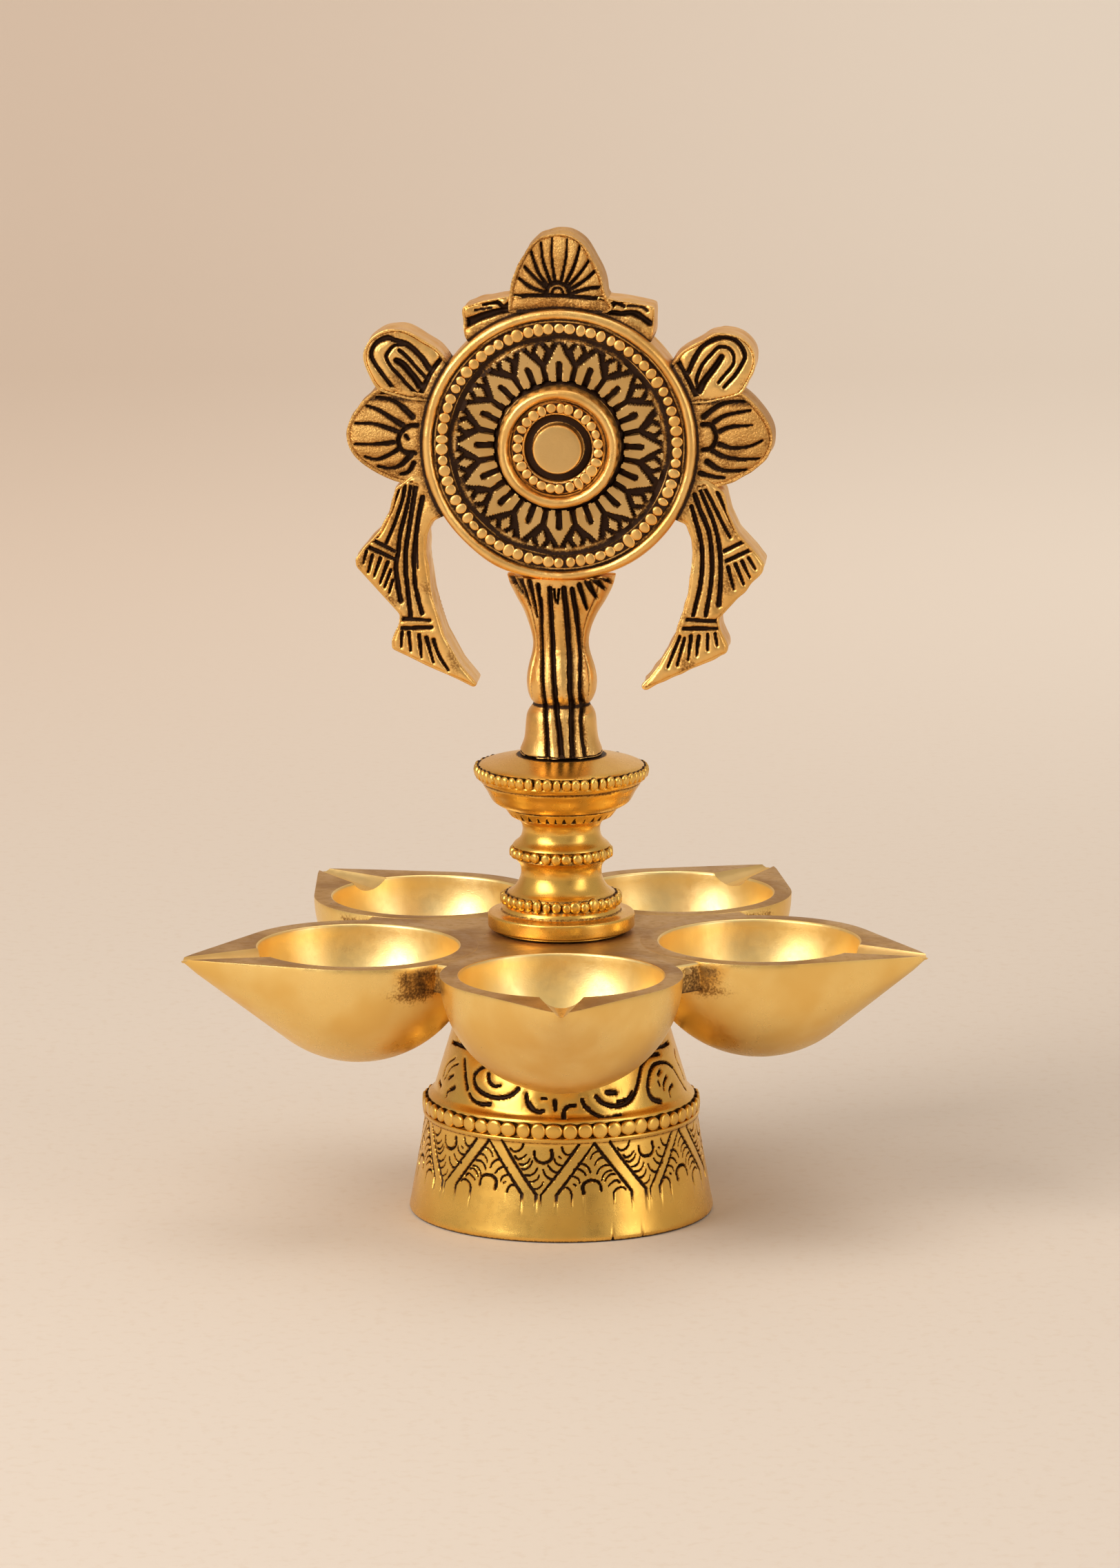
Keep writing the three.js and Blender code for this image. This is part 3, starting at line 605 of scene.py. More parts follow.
THREADED = BrassFinish(base=(0.7, 0.46, 0.17), shade=(0.5, 0.29, 0.09), rough=0.34, wobble=0.01, pits=0.1)


class Paintbox:
    """The finishes of the lamp as materials, and a darker copy of the satin brass that paints shade into the
    wick channels.
    """

    def __init__(self) -> None:
        """Mix each finish once."""
        self.polished = brass("polished brass", POLISHED)
        self.outside = brass("cup brass", OUTSIDE)
        self.satin = brass("satin brass", SATIN)
        self.ground = brass("ground brass", GROUND)
        self.shaded_spout = brass("spout brass", SHADED_SPOUT)
        self.cast = brass("cast brass", CAST)
        self.shell = brass("stippled brass", SHELL)
        self.petal = brass("petal brass", PETAL)
        self.threaded = brass("threaded brass", THREADED)


class Bench:
    """Sets finished pieces down in the shared frame."""

    def __init__(self) -> None:
        """Find the lamp's axis from the pedestal's box."""
        low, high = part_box("pedestal")
        self.axis = (low + high) / 2

    def height(self, node: str) -> float:
        """Height in millimetres of the foot of a CAD node."""
        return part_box(node)[0].z / MM

    def place(
        self, piece: bpy.types.Object, height: float, turn: float, body: Body, slot: Slot,
        paints: Sequence[bpy.types.Material] = (), crease: float = 32.0,
    ) -> bpy.types.Object:
        """Scale, turn and lift a piece to its place, and let it ride on its body.

        Args:
            piece: Piece modelled in millimetres about the lamp's axis.
            height: Height of its origin above the table, in millimetres.
            turn: Turn about the axis in degrees.
            body: CAD body that it moves with.
            slot: Not used.
            paints: Materials for its faces, or none if it has them.
            crease: Angle in degrees above which an edge is left sharp.

        Returns:
            The piece.
        """
        if PATINA not in piece.data.attributes:
            set_patina(piece.data, np.zeros(len(piece.data.vertices)))
        only(piece)
        bpy.ops.object.shade_smooth_by_angle(angle=math.radians(crease))
        spot = Matrix.Translation((self.axis.x, self.axis.y, height * MM))
        piece.matrix_world = spot @ Matrix.Rotation(math.radians(turn), 4, "Z") @ Matrix.Scale(MM, 4)
        bpy.ops.object.transform_apply(location=True, rotation=True, scale=True)
        for paint in paints:
            piece.data.materials.append(paint)
        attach(piece, body.value)
        faces = sum(len(p.vertices) - 2 for p in piece.data.polygons)
        log.info("%s: %d triangles on %s", piece.name, faces, body.value)
        return piece


@dataclass(frozen=True)
class BeadRing:
    """A ring of beads cut in a band about the Z axis.

    orbit, height: place of the beads' centres. wide, tall, out: half sizes of a bead along the band, across
    it and away from it. tilt: degrees that they face above the horizontal. flat: share of out up to which
    they are round, and flattening: what polishing has left of the rest. jitter: how uneven they are.
    """

    count: int
    orbit: float
    height: float
    wide: float
    tall: float
    out: float
    tilt: float = 0.0
    flat: float = 0.7
    jitter: float = 0.07
    flattening: float = 0.3
    subdivisions: int = 3
    seed: int = 1

    def build(self, name: str) -> bpy.types.Object:
        """Model one bead, copy it round the ring and join the copies."""
        bpy.ops.mesh.primitive_ico_sphere_add(subdivisions=self.subdivisions, radius=1.0)
        bead = bpy.context.object
        shape = read(bead.data)
        rng = np.random.default_rng(self.seed)
        tilt = math.radians(self.tilt)
        copies = []
        for i in range(self.count):
            angle = (i + 0.5 + rng.normal(0, self.jitter * 0.45)) / self.count * 2 * math.pi
            along, across, away = 1 + rng.normal(0, self.jitter, 3)
            local = shape.copy()
            over = local[:, 0] > self.flat
            local[over, 0] = self.flat + (local[over, 0] - self.flat) * self.flattening
            local *= (self.out * away, self.wide * along, self.tall * across)
            x = local[:, 0] * math.cos(tilt) - local[:, 2] * math.sin(tilt)
            z = local[:, 0] * math.sin(tilt) + local[:, 2] * math.cos(tilt)
            r = self.orbit + x + rng.normal(0, self.jitter * 0.35) * self.tall * abs(math.sin(tilt))
            lift = rng.normal(0, self.jitter * 0.5) * self.tall * abs(math.cos(tilt))
            y = local[:, 1]
            turned_to = np.column_stack(
                [
                    r * math.cos(angle) - y * math.sin(angle),
                    r * math.sin(angle) + y * math.cos(angle),
                    z + self.height + lift,
                ]
            )
            copy = bead.copy()
            copy.data = bead.data.copy()
            bpy.context.scene.collection.objects.link(copy)
            write(copy.data, turned_to)
            set_patina(copy.data, 0.8 * (1 - ease(shape[:, 0], -0.15, 0.3)))
            copies.append(copy)
        bpy.data.objects.remove(bead)
        return joined(name, copies)


# Engraved patterns


# One triangle of the skirt's band as it is drawn: half its width, its height and its cuts
TRIANGLE_HALF = 7.3
TRIANGLE_HEIGHT = 10.7
TRIANGLE_EDGES = (
    Stroke(((-7.3, -0.1), (-3.7, 5.4), (0.0, 10.7)), 0.22, 0.26, 0.5),
    Stroke(((7.3, 0.2), (3.7, 5.4), (0.0, 10.7)), 0.27, 0.15, 0.5),
)
TRIANGLE_FILL = (
    Stroke(((-1.15, 1.4), (-1.06, 2.4), (-0.55, 3.26), (0.57, 3.6), (1.6, 3.26), (2.2, 2.4), (2.06, 1.1)),
            0.2, 0.32, 0.6),
    Stroke(((-5.6, 1.3), (-5.0, 1.8), (-4.07, 1.7), (-3.38, 1.1), (-3.1, 0.3)), 0.13, 0.22, 0.5),
    Stroke(((-4.67, 2.66), (-4.07, 3.17), (-3.2, 2.83), (-2.44, 2.14)), 0.18, 0.13, 0.45),
    Stroke(((-3.9, 4.2), (-3.12, 4.29), (-2.35, 3.77), (-1.92, 3.0)), 0.17, 0.12, 0.45),
    Stroke(((-3.3, 5.23), (-2.44, 5.15), (-1.66, 4.46), (-1.32, 3.5)), 0.16, 0.12, 0.45),
    Stroke(((-2.7, 6.35), (-1.75, 6.35), (-0.9, 5.75), (-0.46, 4.9)), 0.16, 0.14, 0.45),
    Stroke(((-1.92, 7.7), (-1.06, 7.6), (-0.3, 7.0), (-0.03, 6.26)), 0.15, 0.12, 0.45),
    Stroke(((-1.15, 9.1), (-0.38, 9.0), (0.4, 8.4), (0.74, 7.55)), 0.14, 0.11, 0.45),
    Stroke(((4.25, 0.7), (4.5, 1.54), (5.1, 2.14), (6.0, 2.06)), 0.18, 0.14, 0.45),
    Stroke(((2.9, 2.9), (3.2, 3.7), (4.08, 4.2), (4.77, 4.2)), 0.14, 0.16, 0.45),
    Stroke(((1.68, 4.37), (2.28, 5.2), (3.14, 5.7), (3.9, 5.6)), 0.14, 0.15, 0.45),
    Stroke(((0.65, 5.15), (1.0, 6.1), (1.85, 6.86), (2.8, 6.95)), 0.15, 0.18, 0.45),
    Stroke(((3.5, 2.5), (3.9, 2.8)), 0.16, 0.13, 0.4),
)
# Scrolls of the cone: each point is a bearing in degrees and a level in millimetres
FRONT_SCROLL = (
    Stroke(((-46.9, 31.5), (-46.2, 30.0), (-43.1, 28.7), (-37.5, 27.9), (-31.3, 27.7), (-25.6, 28.2),
            (-22.4, 29.1), (-20.9, 29.8)), 0.3, 0.34),
    Stroke(((-39.8, 33.4), (-43.9, 32.6), (-46.4, 31.5)), 0.22, 0.3),
    Stroke(((-38.1, 31.9), (-36.9, 30.6), (-33.7, 29.8), (-30.4, 30.1)), 0.32, 0.2),
    Stroke(((-47.7, 27.5), (-44.7, 26.5), (-39.7, 26.0), (-34.4, 26.3)), 0.2, 0.32),
    Stroke(((-57.2, 33.6), (-54.7, 31.8), (-52.2, 29.9), (-49.8, 28.3)), 0.22, 0.32),
    Stroke(((-76.0, 35.5), (-63.9, 35.8), (-55.6, 36.0)), 0.25, 0.35),
    Stroke(((-74.6, 28.8), (-74.2, 31.0), (-66.2, 33.1)), 0.12, 0.12),
    Stroke(((-71.6, 28.5), (-67.9, 31.0), (-61.7, 32.3)), 0.12, 0.12),
    Stroke(((-67.0, 29.0), (-63.5, 29.9)), 0.28, 0.2),
    Stroke(((-78.8, 27.2), (-74.3, 26.7)), 0.25, 0.2),
    Stroke(((-64.7, 25.5), (-64.6, 26.5), (-60.0, 27.7)), 0.14, 0.38),
    Stroke(((-16.6, 28.9), (-15.9, 27.5), (-13.8, 26.2), (-10.2, 25.7), (-8.4, 25.9)), 0.3, 0.3),
    Stroke(((-14.9, 27.1), (-12.5, 26.0)), 0.42, 0.3),
    Stroke(((-8.9, 28.3), (-6.7, 28.2)), 0.25, 0.15),
    Stroke(((-3.0, 27.8), (-2.8, 26.2)), 0.36, 0.3),
    Stroke(((6.3, 27.0), (3.1, 26.8), (1.2, 25.8), (1.2, 24.2)), 0.25, 0.36),
    Stroke(((9.6, 28.0), (11.3, 26.5), (15.5, 25.1), (20.5, 24.4), (27.0, 24.7)), 0.3, 0.22),
    Stroke(((10.7, 26.8), (12.5, 26.2)), 0.36, 0.3),
    Stroke(((16.5, 28.5), (19.2, 27.2), (24.4, 26.4), (30.1, 26.5), (35.0, 27.6), (38.4, 29.4), (41.5, 31.7),
            (44.5, 33.4), (50.8, 34.7), (59.1, 34.5)), 0.36, 0.3),
    Stroke(((22.1, 29.1), (26.1, 28.9)), 0.4, 0.45),
    Stroke(((26.7, 27.1), (32.0, 27.5), (35.2, 28.7)), 0.25, 0.18),
    Stroke(((69.6, 30.9), (63.5, 32.4), (54.7, 32.9), (49.4, 32.0), (45.9, 30.0), (44.8, 27.9), (47.0, 26.4),
            (51.2, 25.7)), 0.2, 0.42),
    Stroke(((69.6, 30.9), (73.1, 28.6), (77.3, 26.2), (79.6, 25.4)), 0.16, 0.12),
    Stroke(((56.7, 31.4), (54.2, 30.8)), 0.32, 0.26),
    Stroke(((60.7, 29.9), (57.0, 28.9), (55.7, 27.7)), 0.28, 0.15),
    Stroke(((53.1, 29.5), (53.4, 28.7)), 0.22, 0.16),
    Stroke(((63.8, 27.9), (60.2, 27.3), (59.3, 26.0)), 0.28, 0.12),
    Stroke(((55.5, 35.9), (63.6, 35.6), (73.5, 35.6)), 0.22, 0.32),
    Stroke(((79.8, 33.6), (77.7, 32.1), (80.2, 29.9), (82.2, 27.4)), 0.12, 0.12),
)


@dataclass
class Pedestal:
    """The pedestal: engraved skirt, bead ring and scrolled cone, hollow below.

    band_foot, band_top, band_radius: place of the engraved band. repeats: triangles that point down in it.
    down_point: bearing of the first of them. scroll_radius: radius that the scrolls are drawn on.
    front_turns: bearings of the scrolls as drawn. upper_turns: bearings of those turned upside down above
    them, and mirror: the sum of both levels. upper_half: half of the angle that the upper ones take up.
    """

    band_foot: float = 8.9
    band_top: float = 19.6
    band_radius: float = 28.95
    repeats: int = 8
    down_point: float = -9.0
    triangle_half: float = 8.2
    halo: float = 0.36
    scroll_radius: float = 24.3
    front_turns: tuple = (0, 180)
    upper_turns: tuple = (60, 150, 240, 330)
    mirror: float = 72.5
    upper_half: float = 40.0
    skirt_steps: int = 1000
    cone_steps: int = 730
    beads: BeadRing = BeadRing(56, 27.45, 22.15, 1.6, 1.55, 1.1, flat=0.5, seed=3)

    def fitted(self, path: Path, shift: Sequence[float] = (0.0, 0.0)) -> tuple:
        """A path of the drawn triangle, fitted to the triangles of the band and moved a little."""
        height = self.band_top - self.band_foot
        return tuple(
            (a * self.triangle_half / TRIANGLE_HALF + shift[0], b * height / TRIANGLE_HEIGHT + shift[1])
            for a, b in path
        )

    def skirt(self) -> bpy.types.Object:
        """Turn the skirt and engrave its band."""
        outer = rounded(
            [
                (27.85, 0.0), (30.45, 0.0, 0.3), (30.9, 0.55, 0.5), (30.42, 2.7, 1.6),
                (29.7, 7.2, 3), (28.8, 12.0, 3), (28.0, 17.2, 2), (27.72, 19.4, 0.3), (27.95, 19.95, 0.3),
                (28.1, 20.4, 0.2), (27.9, 20.7, 0.2), (24.6, 20.7),
            ],
            2,
        )
        inner = [(24.6, 19.4), (28.2, 1.0)]
        fine = lambda r, z: 0.2 if r > 27.0 and 8.8 < z < 19.7 else 2.4
        piece = turned("pedestal_skirt", dense(outer + inner, fine, closed=True), self.skirt_steps)
        relief = Relief(piece)
        radius, bearing = relief.polar()
        theta = np.degrees(bearing)
        z = relief.co[:, 2]
        outside = ease(radius, 27.0, 27.3) * (z < 20)
        per_degree = self.band_radius * math.pi / 180
        pitch = 360 / self.repeats
        rng = np.random.default_rng(11)
        for i in range(2 * self.repeats):
            flipped = i % 2 == 1
            middle = self.down_point + pitch * i / 2 + rng.normal(0, 0.5)
            u = off(theta, middle) * per_degree
            h = (z - self.band_foot) if flipped else (self.band_top - z)
            mirror = rng.choice((-1, 1)) if flipped else 1
            for stroke in TRIANGLE_EDGES:
                cut_here = stroke.bold(1.2, 1.2, path=self.fitted(stroke.path), halo=self.halo)
                relief.stroke(u * mirror, h, cut_here, outside)
            for stroke in TRIANGLE_FILL:
                path = self.fitted(stroke.path, rng.normal(0, 0.12, 2))
                cut_here = stroke.bold(1.15, 1.15, path=path, dirt=rng.uniform(0.8, 1.0), halo=self.halo)
                relief.stroke(u * mirror, h, cut_here, outside)
        relief.darken(0.5 * bell(z - 19.75, 0.16) * outside)
        relief.darken(0.75 * bell(z - 0.1, 0.22) * outside)
        nicks = ease(waves(theta * 2.3, z * 0.1, 14, 9, 0.6), 1.35, 1.9) * bell(z, 1.3)
        relief.sink(0.35 * nicks * outside)
        relief.darken(0.8 * nicks * outside)
        relief.apply()
        return piece

    def cone(self) -> bpy.types.Object:
        """Turn the cone with its boss and cut its scrolls."""
        outer = rounded(
            [
                (24.6, 20.7), (27.5, 20.75), (26.9, 21.3, 0.3), (26.7, 23.0, 0.3), (27.1, 23.5, 0.25),
                (27.0, 24.0, 0.25), (26.6, 24.4, 0.3), (26.1, 24.75, 0.2), (25.75, 25.2, 0.3),
                (24.3, 30.1, 2), (23.0, 34.4, 2), (22.05, 37.6, 2), (17.9, 50.6, 0.5), (17.3, 51.2, 0.3),
                (4.3, 51.2),
            ],
            2,
        )
        inner = [(4.3, 41.2), (8.0, 41.2), (8.0, 47.2), (15.6, 47.2), (23.2, 25.2)]

        def step(r: float, z: float) -> float:
            """Fine where scrolls are cut, coarser above them, and plain elsewhere."""
            if not 24.9 < z < 46.5 or r <= 24.6 - (z - 25.2) * 0.4:
                return 2.4
            return 0.225 if z < 36.5 else 0.9

        piece = turned("pedestal_cone", dense(outer + inner, step, closed=True), self.cone_steps)
        relief = Relief(piece)
        radius, bearing = relief.polar()
        theta = np.degrees(bearing)
        z = relief.co[:, 2]
        outside = (relief.normal[:, 2] > -0.2) & (radius > 24.0 - (z - 25.2) * 0.36) & (z > 24.4)
        per_degree = self.scroll_radius * math.pi / 180
        for stroke in FRONT_SCROLL:
            for turn in self.front_turns + self.upper_turns:
                upper = turn in self.upper_turns
                if upper and abs(stroke.path[0][0]) > self.upper_half:
                    continue
                angles = [a + turn for a, _ in stroke.path]
                levels = [self.mirror - h if upper else h for _, h in stroke.path]
                middle = sum(angles) / len(angles)
                across = off(theta, middle) * per_degree
                path = tuple(((a - middle) * per_degree, h) for a, h in zip(angles, levels))
                moved = stroke.bold(1.3, 1.3, path=path, depth=0.65, shoulder=0.1, halo=0.4)
                relief.stroke(across, z, moved, outside)
        relief.darken(0.4 * ease(radius, 27.1, 26.75) * (z > 21) * (z < 23.3))
        relief.apply()
        return piece

    def build(self, bench: Bench, paints: Paintbox) -> None:
        """Model the pedestal and set it down."""
        skirt = bench.place(self.skirt(), 0, 0, Body.BASE, Slot.POLISHED, [paints.polished])
        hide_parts("pedestal")
        bench.place(self.cone(), 0, 0, Body.BASE, Slot.POLISHED, [paints.polished])
        beads = self.beads.build("pedestal_beads")
        bench.place(beads, 0, 0, Body.BASE, Slot.POLISHED, [paints.polished], ALL_SMOOTH)


@dataclass
class CupTray:
    """The casting of five pointed cups, with ground top, satin bowls and polished outsides.

    settings: how each cup departs from the even star, outwards and in its reach in millimetres, and round the
    axis and in the way that it points in degrees. nose: radius of a cup's point. channel_half, channel_depth:
    size of the gouge where it leaves the bowl, and tip_half, tip_depth: at the point. relieve: how much wider
    and higher a second pass opens it. corner_share: how far out between two cups the rough corner lies.
    """

    cups: int = 5
    ring: float = 42.6
    turn: float = 1.8
    hull_radius: float = 24.0
    hull_depth: float = 23.4
    bowl_radius: float = 20.15
    bowl_depth: float = 20.4
    lip: float = 0.55
    reach: float = 36.0
    settings: tuple = (
        (-0.2, -0.6, -1.8, -1.8),
        (-1.6, 0.6, 2.2, -7.6),
        (2.2, -1.4, 2.4, -2.4),
        (1.0, 0.0, 0.4, 3.0),
        (0.6, 1.6, 0.0, 0.8),
    )
    nose: float = 0.95
    plate_radius: float = 41.0
    thickness: float = 6.0
    channel_half: float = 4.0
    channel_depth: float = 2.1
    tip_half: float = 0.55
    tip_depth: float = 0.45
    relieve: tuple = (0.45, 0.3)
    bore: float = 4.3
    corner_share: float = 0.66
    lumps_per_corner: int = 5

    def spot(self, place: int) -> tuple:
        """The middle of a cup's bowl as a vector, and its heading in radians."""
        out, _, round_by, skew = self.settings[place]
        even = 360 * place / self.cups - 90
        bearing = math.radians(even + round_by)
        middle = (self.ring + out) * np.array([math.cos(bearing), math.sin(bearing)])
        return middle, math.radians(even + skew)

    def hull(self, reach: float) -> bpy.types.Object:
        """Spin half a pear about X, close its top and round the rim."""
        tangent = math.acos(self.hull_radius / reach)
        profile = [(-self.hull_radius, 0.0)]
        for i in range(1, 37):
            angle = math.pi + (tangent - math.pi) * i / 36
            profile.append((self.hull_radius * math.cos(angle), -self.hull_radius * math.sin(angle)))
        side, half = profile[-1]
        for i in range(1, 7):
            t = i / 7
            profile.append((side + (reach - self.nose * 0.6 - side) * t, half + (-self.nose - half) * t))
        for i in range(5):
            angle = math.pi / 2 * i / 4
            profile.append((reach - self.nose * (1 - math.sin(angle)), -self.nose * math.cos(angle)))
        profile[-1] = (reach, 0)
        piece = new_mesh("hull", [(x, y, 0) for x, y in profile], chain(profile))
        with editing():
            bpy.ops.mesh.select_all(action="SELECT")
            bpy.ops.mesh.spin(steps=48, angle=math.pi, center=(0, 0, 0), axis=(1, 0, 0))
            bpy.ops.mesh.select_all(action="SELECT")
            bpy.ops.mesh.remove_doubles(threshold=2e-4)
            bpy.ops.mesh.select_all(action="DESELECT")
            bpy.ops.mesh.select_mode(type="EDGE")
            bpy.ops.mesh.select_non_manifold(
                extend=False, use_wire=False, use_multi_face=False, use_verts=False
            )
            bpy.ops.mesh.edge_face_add()
            bpy.ops.mesh.bevel(offset=0.4, segments=2, affect="EDGES", clamp_overlap=True)
            bpy.ops.mesh.select_mode(type="VERT")
            close_up()
        co = read(piece.data)
        co[:, 2] = -np.abs(co[:, 2]) * self.hull_depth / self.hull_radius
        write(piece.data, co)
        with editing():
            close_up()
        return piece

    def bowl(self) -> bpy.types.Object:
        """The hollow of a cup, with a lip that rolls over on to the top."""
        profile = [(0.0, -self.bowl_depth)]
        for i in range(1, 29):
            angle = math.pi / 2 * i / 28
            z = -self.lip - (self.bowl_depth - self.lip) * math.cos(angle)
            profile.append((self.bowl_radius * math.sin(angle), z))
        for i in range(1, 5):
            angle = math.pi / 2 * i / 4
            r = self.bowl_radius + self.lip * (1 - math.cos(angle))
            profile.append((r, -self.lip * (1 - math.sin(angle))))
        profile += [(self.bowl_radius + self.lip, 3.0), (0.0, 3.0)]
        return turned("bowl", profile, 112)

    def channel(self, reach: float, wider: float = 0.0, higher: float = 0.0) -> bpy.types.Object:
        """The gouge that the wick lies in, tapered from the bowl to the nose."""
        gouge = lambda half, depth: (half * half + depth * depth) / (2 * depth)
        wide = gouge(self.channel_half, self.channel_depth)
        narrow = gouge(self.tip_half, self.tip_depth)
        start = self.bowl_radius * 0.8
        end = reach + 1.0
        run = end - self.bowl_radius
        slope = (wide - narrow) / run
        first = wide + slope * (self.bowl_radius - start)
        bpy.ops.mesh.primitive_cone_add(
            vertices=72, radius1=first + wider, radius2=narrow + wider, depth=end - start,
            location=((start + end) / 2, 0, 0), rotation=(0, math.pi / 2, 0),
        )
        piece = bpy.context.object
        bpy.ops.object.transform_apply(location=True, rotation=True, scale=True)
        lift = (wide - self.channel_depth - (narrow - self.tip_depth)) / run
        shear = Matrix.Identity(4)
        shear[2][0] = -lift
        shear[2][3] = narrow - self.tip_depth + lift * end + higher
        piece.data.transform(shear)
        return piece

    def casting(self) -> bpy.types.Object:
        """Join the hulls and the plate, then hollow the bowls, the channels and the stud's hole."""
        foot, top, rim = -self.thickness, -0.03, self.plate_radius
        plate = rounded([(0, foot), (rim, foot, 0.8), (rim, top, 0.9), (0, top)])
        piece = turned("cup_tray_casting", plate, 160)
        reaches = [self.reach + longer for _, longer, _, _ in self.settings]
        for i, reach in enumerate(reaches):
            self.at(self.hull(reach), i, piece, "UNION")
        for i in range(self.cups):
            self.at(self.bowl(), i, piece)
        for i, reach in enumerate(reaches):
            self.at(self.channel(reach), i, piece)
            self.at(self.channel(reach, *self.relieve), i, piece)
        bpy.ops.mesh.primitive_cylinder_add(vertices=64, radius=self.bore, depth=4 * self.thickness)
        cut(piece, bpy.context.object)
        return piece

    def at(
        self, tool: bpy.types.Object, place: int, piece: bpy.types.Object, operation: str = "DIFFERENCE"
    ) -> None:
        """Move a tool to one cup and use it on the casting."""
        middle, heading = self.spot(place)
        tool.data.transform(Matrix.Translation((*middle, 0)) @ Matrix.Rotation(heading, 4, "Z"))
        cut(piece, tool, operation)

    def paint(self, piece: bpy.types.Object, paints: Paintbox) -> None:
        """Give the ground top, the bowls and the outsides their own finish, face by face, and the wick
        channels a darker copy of the satin brass as painted shade.
        """
        mesh = piece.data
        mesh.materials.clear()
        for paint in (paints.outside, paints.ground, paints.satin, paints.shaded_spout):
            mesh.materials.append(paint)
        centre = rows(mesh.polygons, "center")
        normal = rows(mesh.polygons, "normal")
        level = centre[:, 2]
        up = normal[:, 2]
        ground = (up > 0.95) & (level > -0.3)
        edge = (up > 0.2) & (up < 0.95) & (level > -0.5)
        inside = np.zeros(len(up), bool)
        shaded_spout = np.zeros(len(up), bool)
        for i in range(self.cups):
            middle, angle = self.spot(i)
            gap = centre[:, :2] - middle
            away = np.hypot(*gap.T)
            inward = (gap * normal[:, :2]).sum(1) < 0
            inside |= (away < self.bowl_radius + self.lip + 0.1) & (up > -0.1) & (inward | (up > 0.8))
            out = gap @ np.array([math.cos(angle), math.sin(angle)])
            aside = np.abs(gap @ np.array([-math.sin(angle), math.cos(angle)]))
            gouged = (out > 14) & (away > self.bowl_radius + 0.05) & (aside < self.channel_half + 0.6)
            # faces of the wick channels, which get the darker copy of the satin brass as painted shade
            shaded_spout |= gouged & (up > 0.02) & (up < 0.97) & (level > -4)
        choice = np.where(ground, 1, np.where(shaded_spout, 3, np.where(inside | edge, 2, 0))).astype(np.int32)
        mesh.polygons.foreach_set("material_index", choice)
        set_patina(mesh, self.darken(*read(mesh).T))

    def darken(self, x: np.ndarray, y: np.ndarray, z: np.ndarray) -> np.ndarray:
        """Darkening in the corners between the cups, in patches and in a streak below the plate."""
        darken = np.zeros(len(x))
        for i in range(self.cups):
            corner = (self.spot(i)[0] + self.spot((i + 1) % self.cups)[0]) * self.corner_share
            gap = np.hypot(x - corner[0], y - corner[1])
            patch = 0.24 + 0.24 * ease(waves(x * 1.3, z * 2 + y, 71 + i, 6, 0.9), -1.2, 0.6)
            patch = patch * ease(gap, 7.5, 3.5) * (z < -0.7) * ease(z, -8.5, -6.5)
            streak = 0.5 * bell(z + 5.8 - 0.05 * gap, 0.9) * ease(gap, 10.5, 4.0)
            darken = np.maximum(darken, np.maximum(patch, streak))
        return darken

    def lumps(self) -> bpy.types.Object:
        """Rough dark casting metal left in the corners between the cups."""
        rng = np.random.default_rng(8)
        parts = []
        for i in range(self.cups):
            corner = -math.pi / 2 + 2 * math.pi * (i + 0.5) / self.cups
            for _ in range(self.lumps_per_corner):
                bpy.ops.mesh.primitive_ico_sphere_add(subdivisions=3, radius=1.0)
                lump = bpy.context.object
                co = read(lump.data)
                seed = int(rng.integers(1e6))
                rough = 1 + 0.16 * waves(co[:, 0] * 3, co[:, 1] * 3 + co[:, 2] * 2, seed, 6, 1.2)
                size = rng.uniform((0.7, 0.7, 0.5), (1.9, 1.5, 1.1))
                radius = rng.uniform(37.5, 40.7)
                angle = corner + rng.normal(0, 0.035)
                spot = (radius * math.cos(angle), radius * math.sin(angle), rng.uniform(-2.2, -0.75))
                write(lump.data, co * rough[:, None] * size + spot)
                set_patina(lump.data, ease(waves(co[:, 0] * 2, co[:, 1] * 2, 4, 6, 1.0), -0.9, 0.4) * 0.9)
                parts.append(lump)
        return joined("tray_casting_lumps", parts)

    def build(self, bench: Bench, paints: Paintbox) -> None:
        """Model the tray and set it down."""
        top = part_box("cup_tray")[1].z / MM
        casting = self.casting()
        self.paint(casting, paints)
        bench.place(casting, top, self.turn, Body.TRAY, Slot.SATIN, crease=28)
        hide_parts("cup_tray")
        bench.place(self.lumps(), top, self.turn, Body.TRAY, Slot.SATIN, [paints.ground], ALL_SMOOTH)


# Rings of dirt round the baluster: middle level, half width, and how dark
BALUSTER_DIRT = (
    (4.1, 0.25, 0.5), (5.45, 0.22, 0.45), (7.55, 0.22, 0.45), (15.0, 0.2, 0.5), (17.15, 0.2, 0.5),
    (31.7, 0.2, 0.3), (16.1, 0.75, 0.85), (6.4, 0.8, 0.85), (32.55, 0.7, 0.85),
)


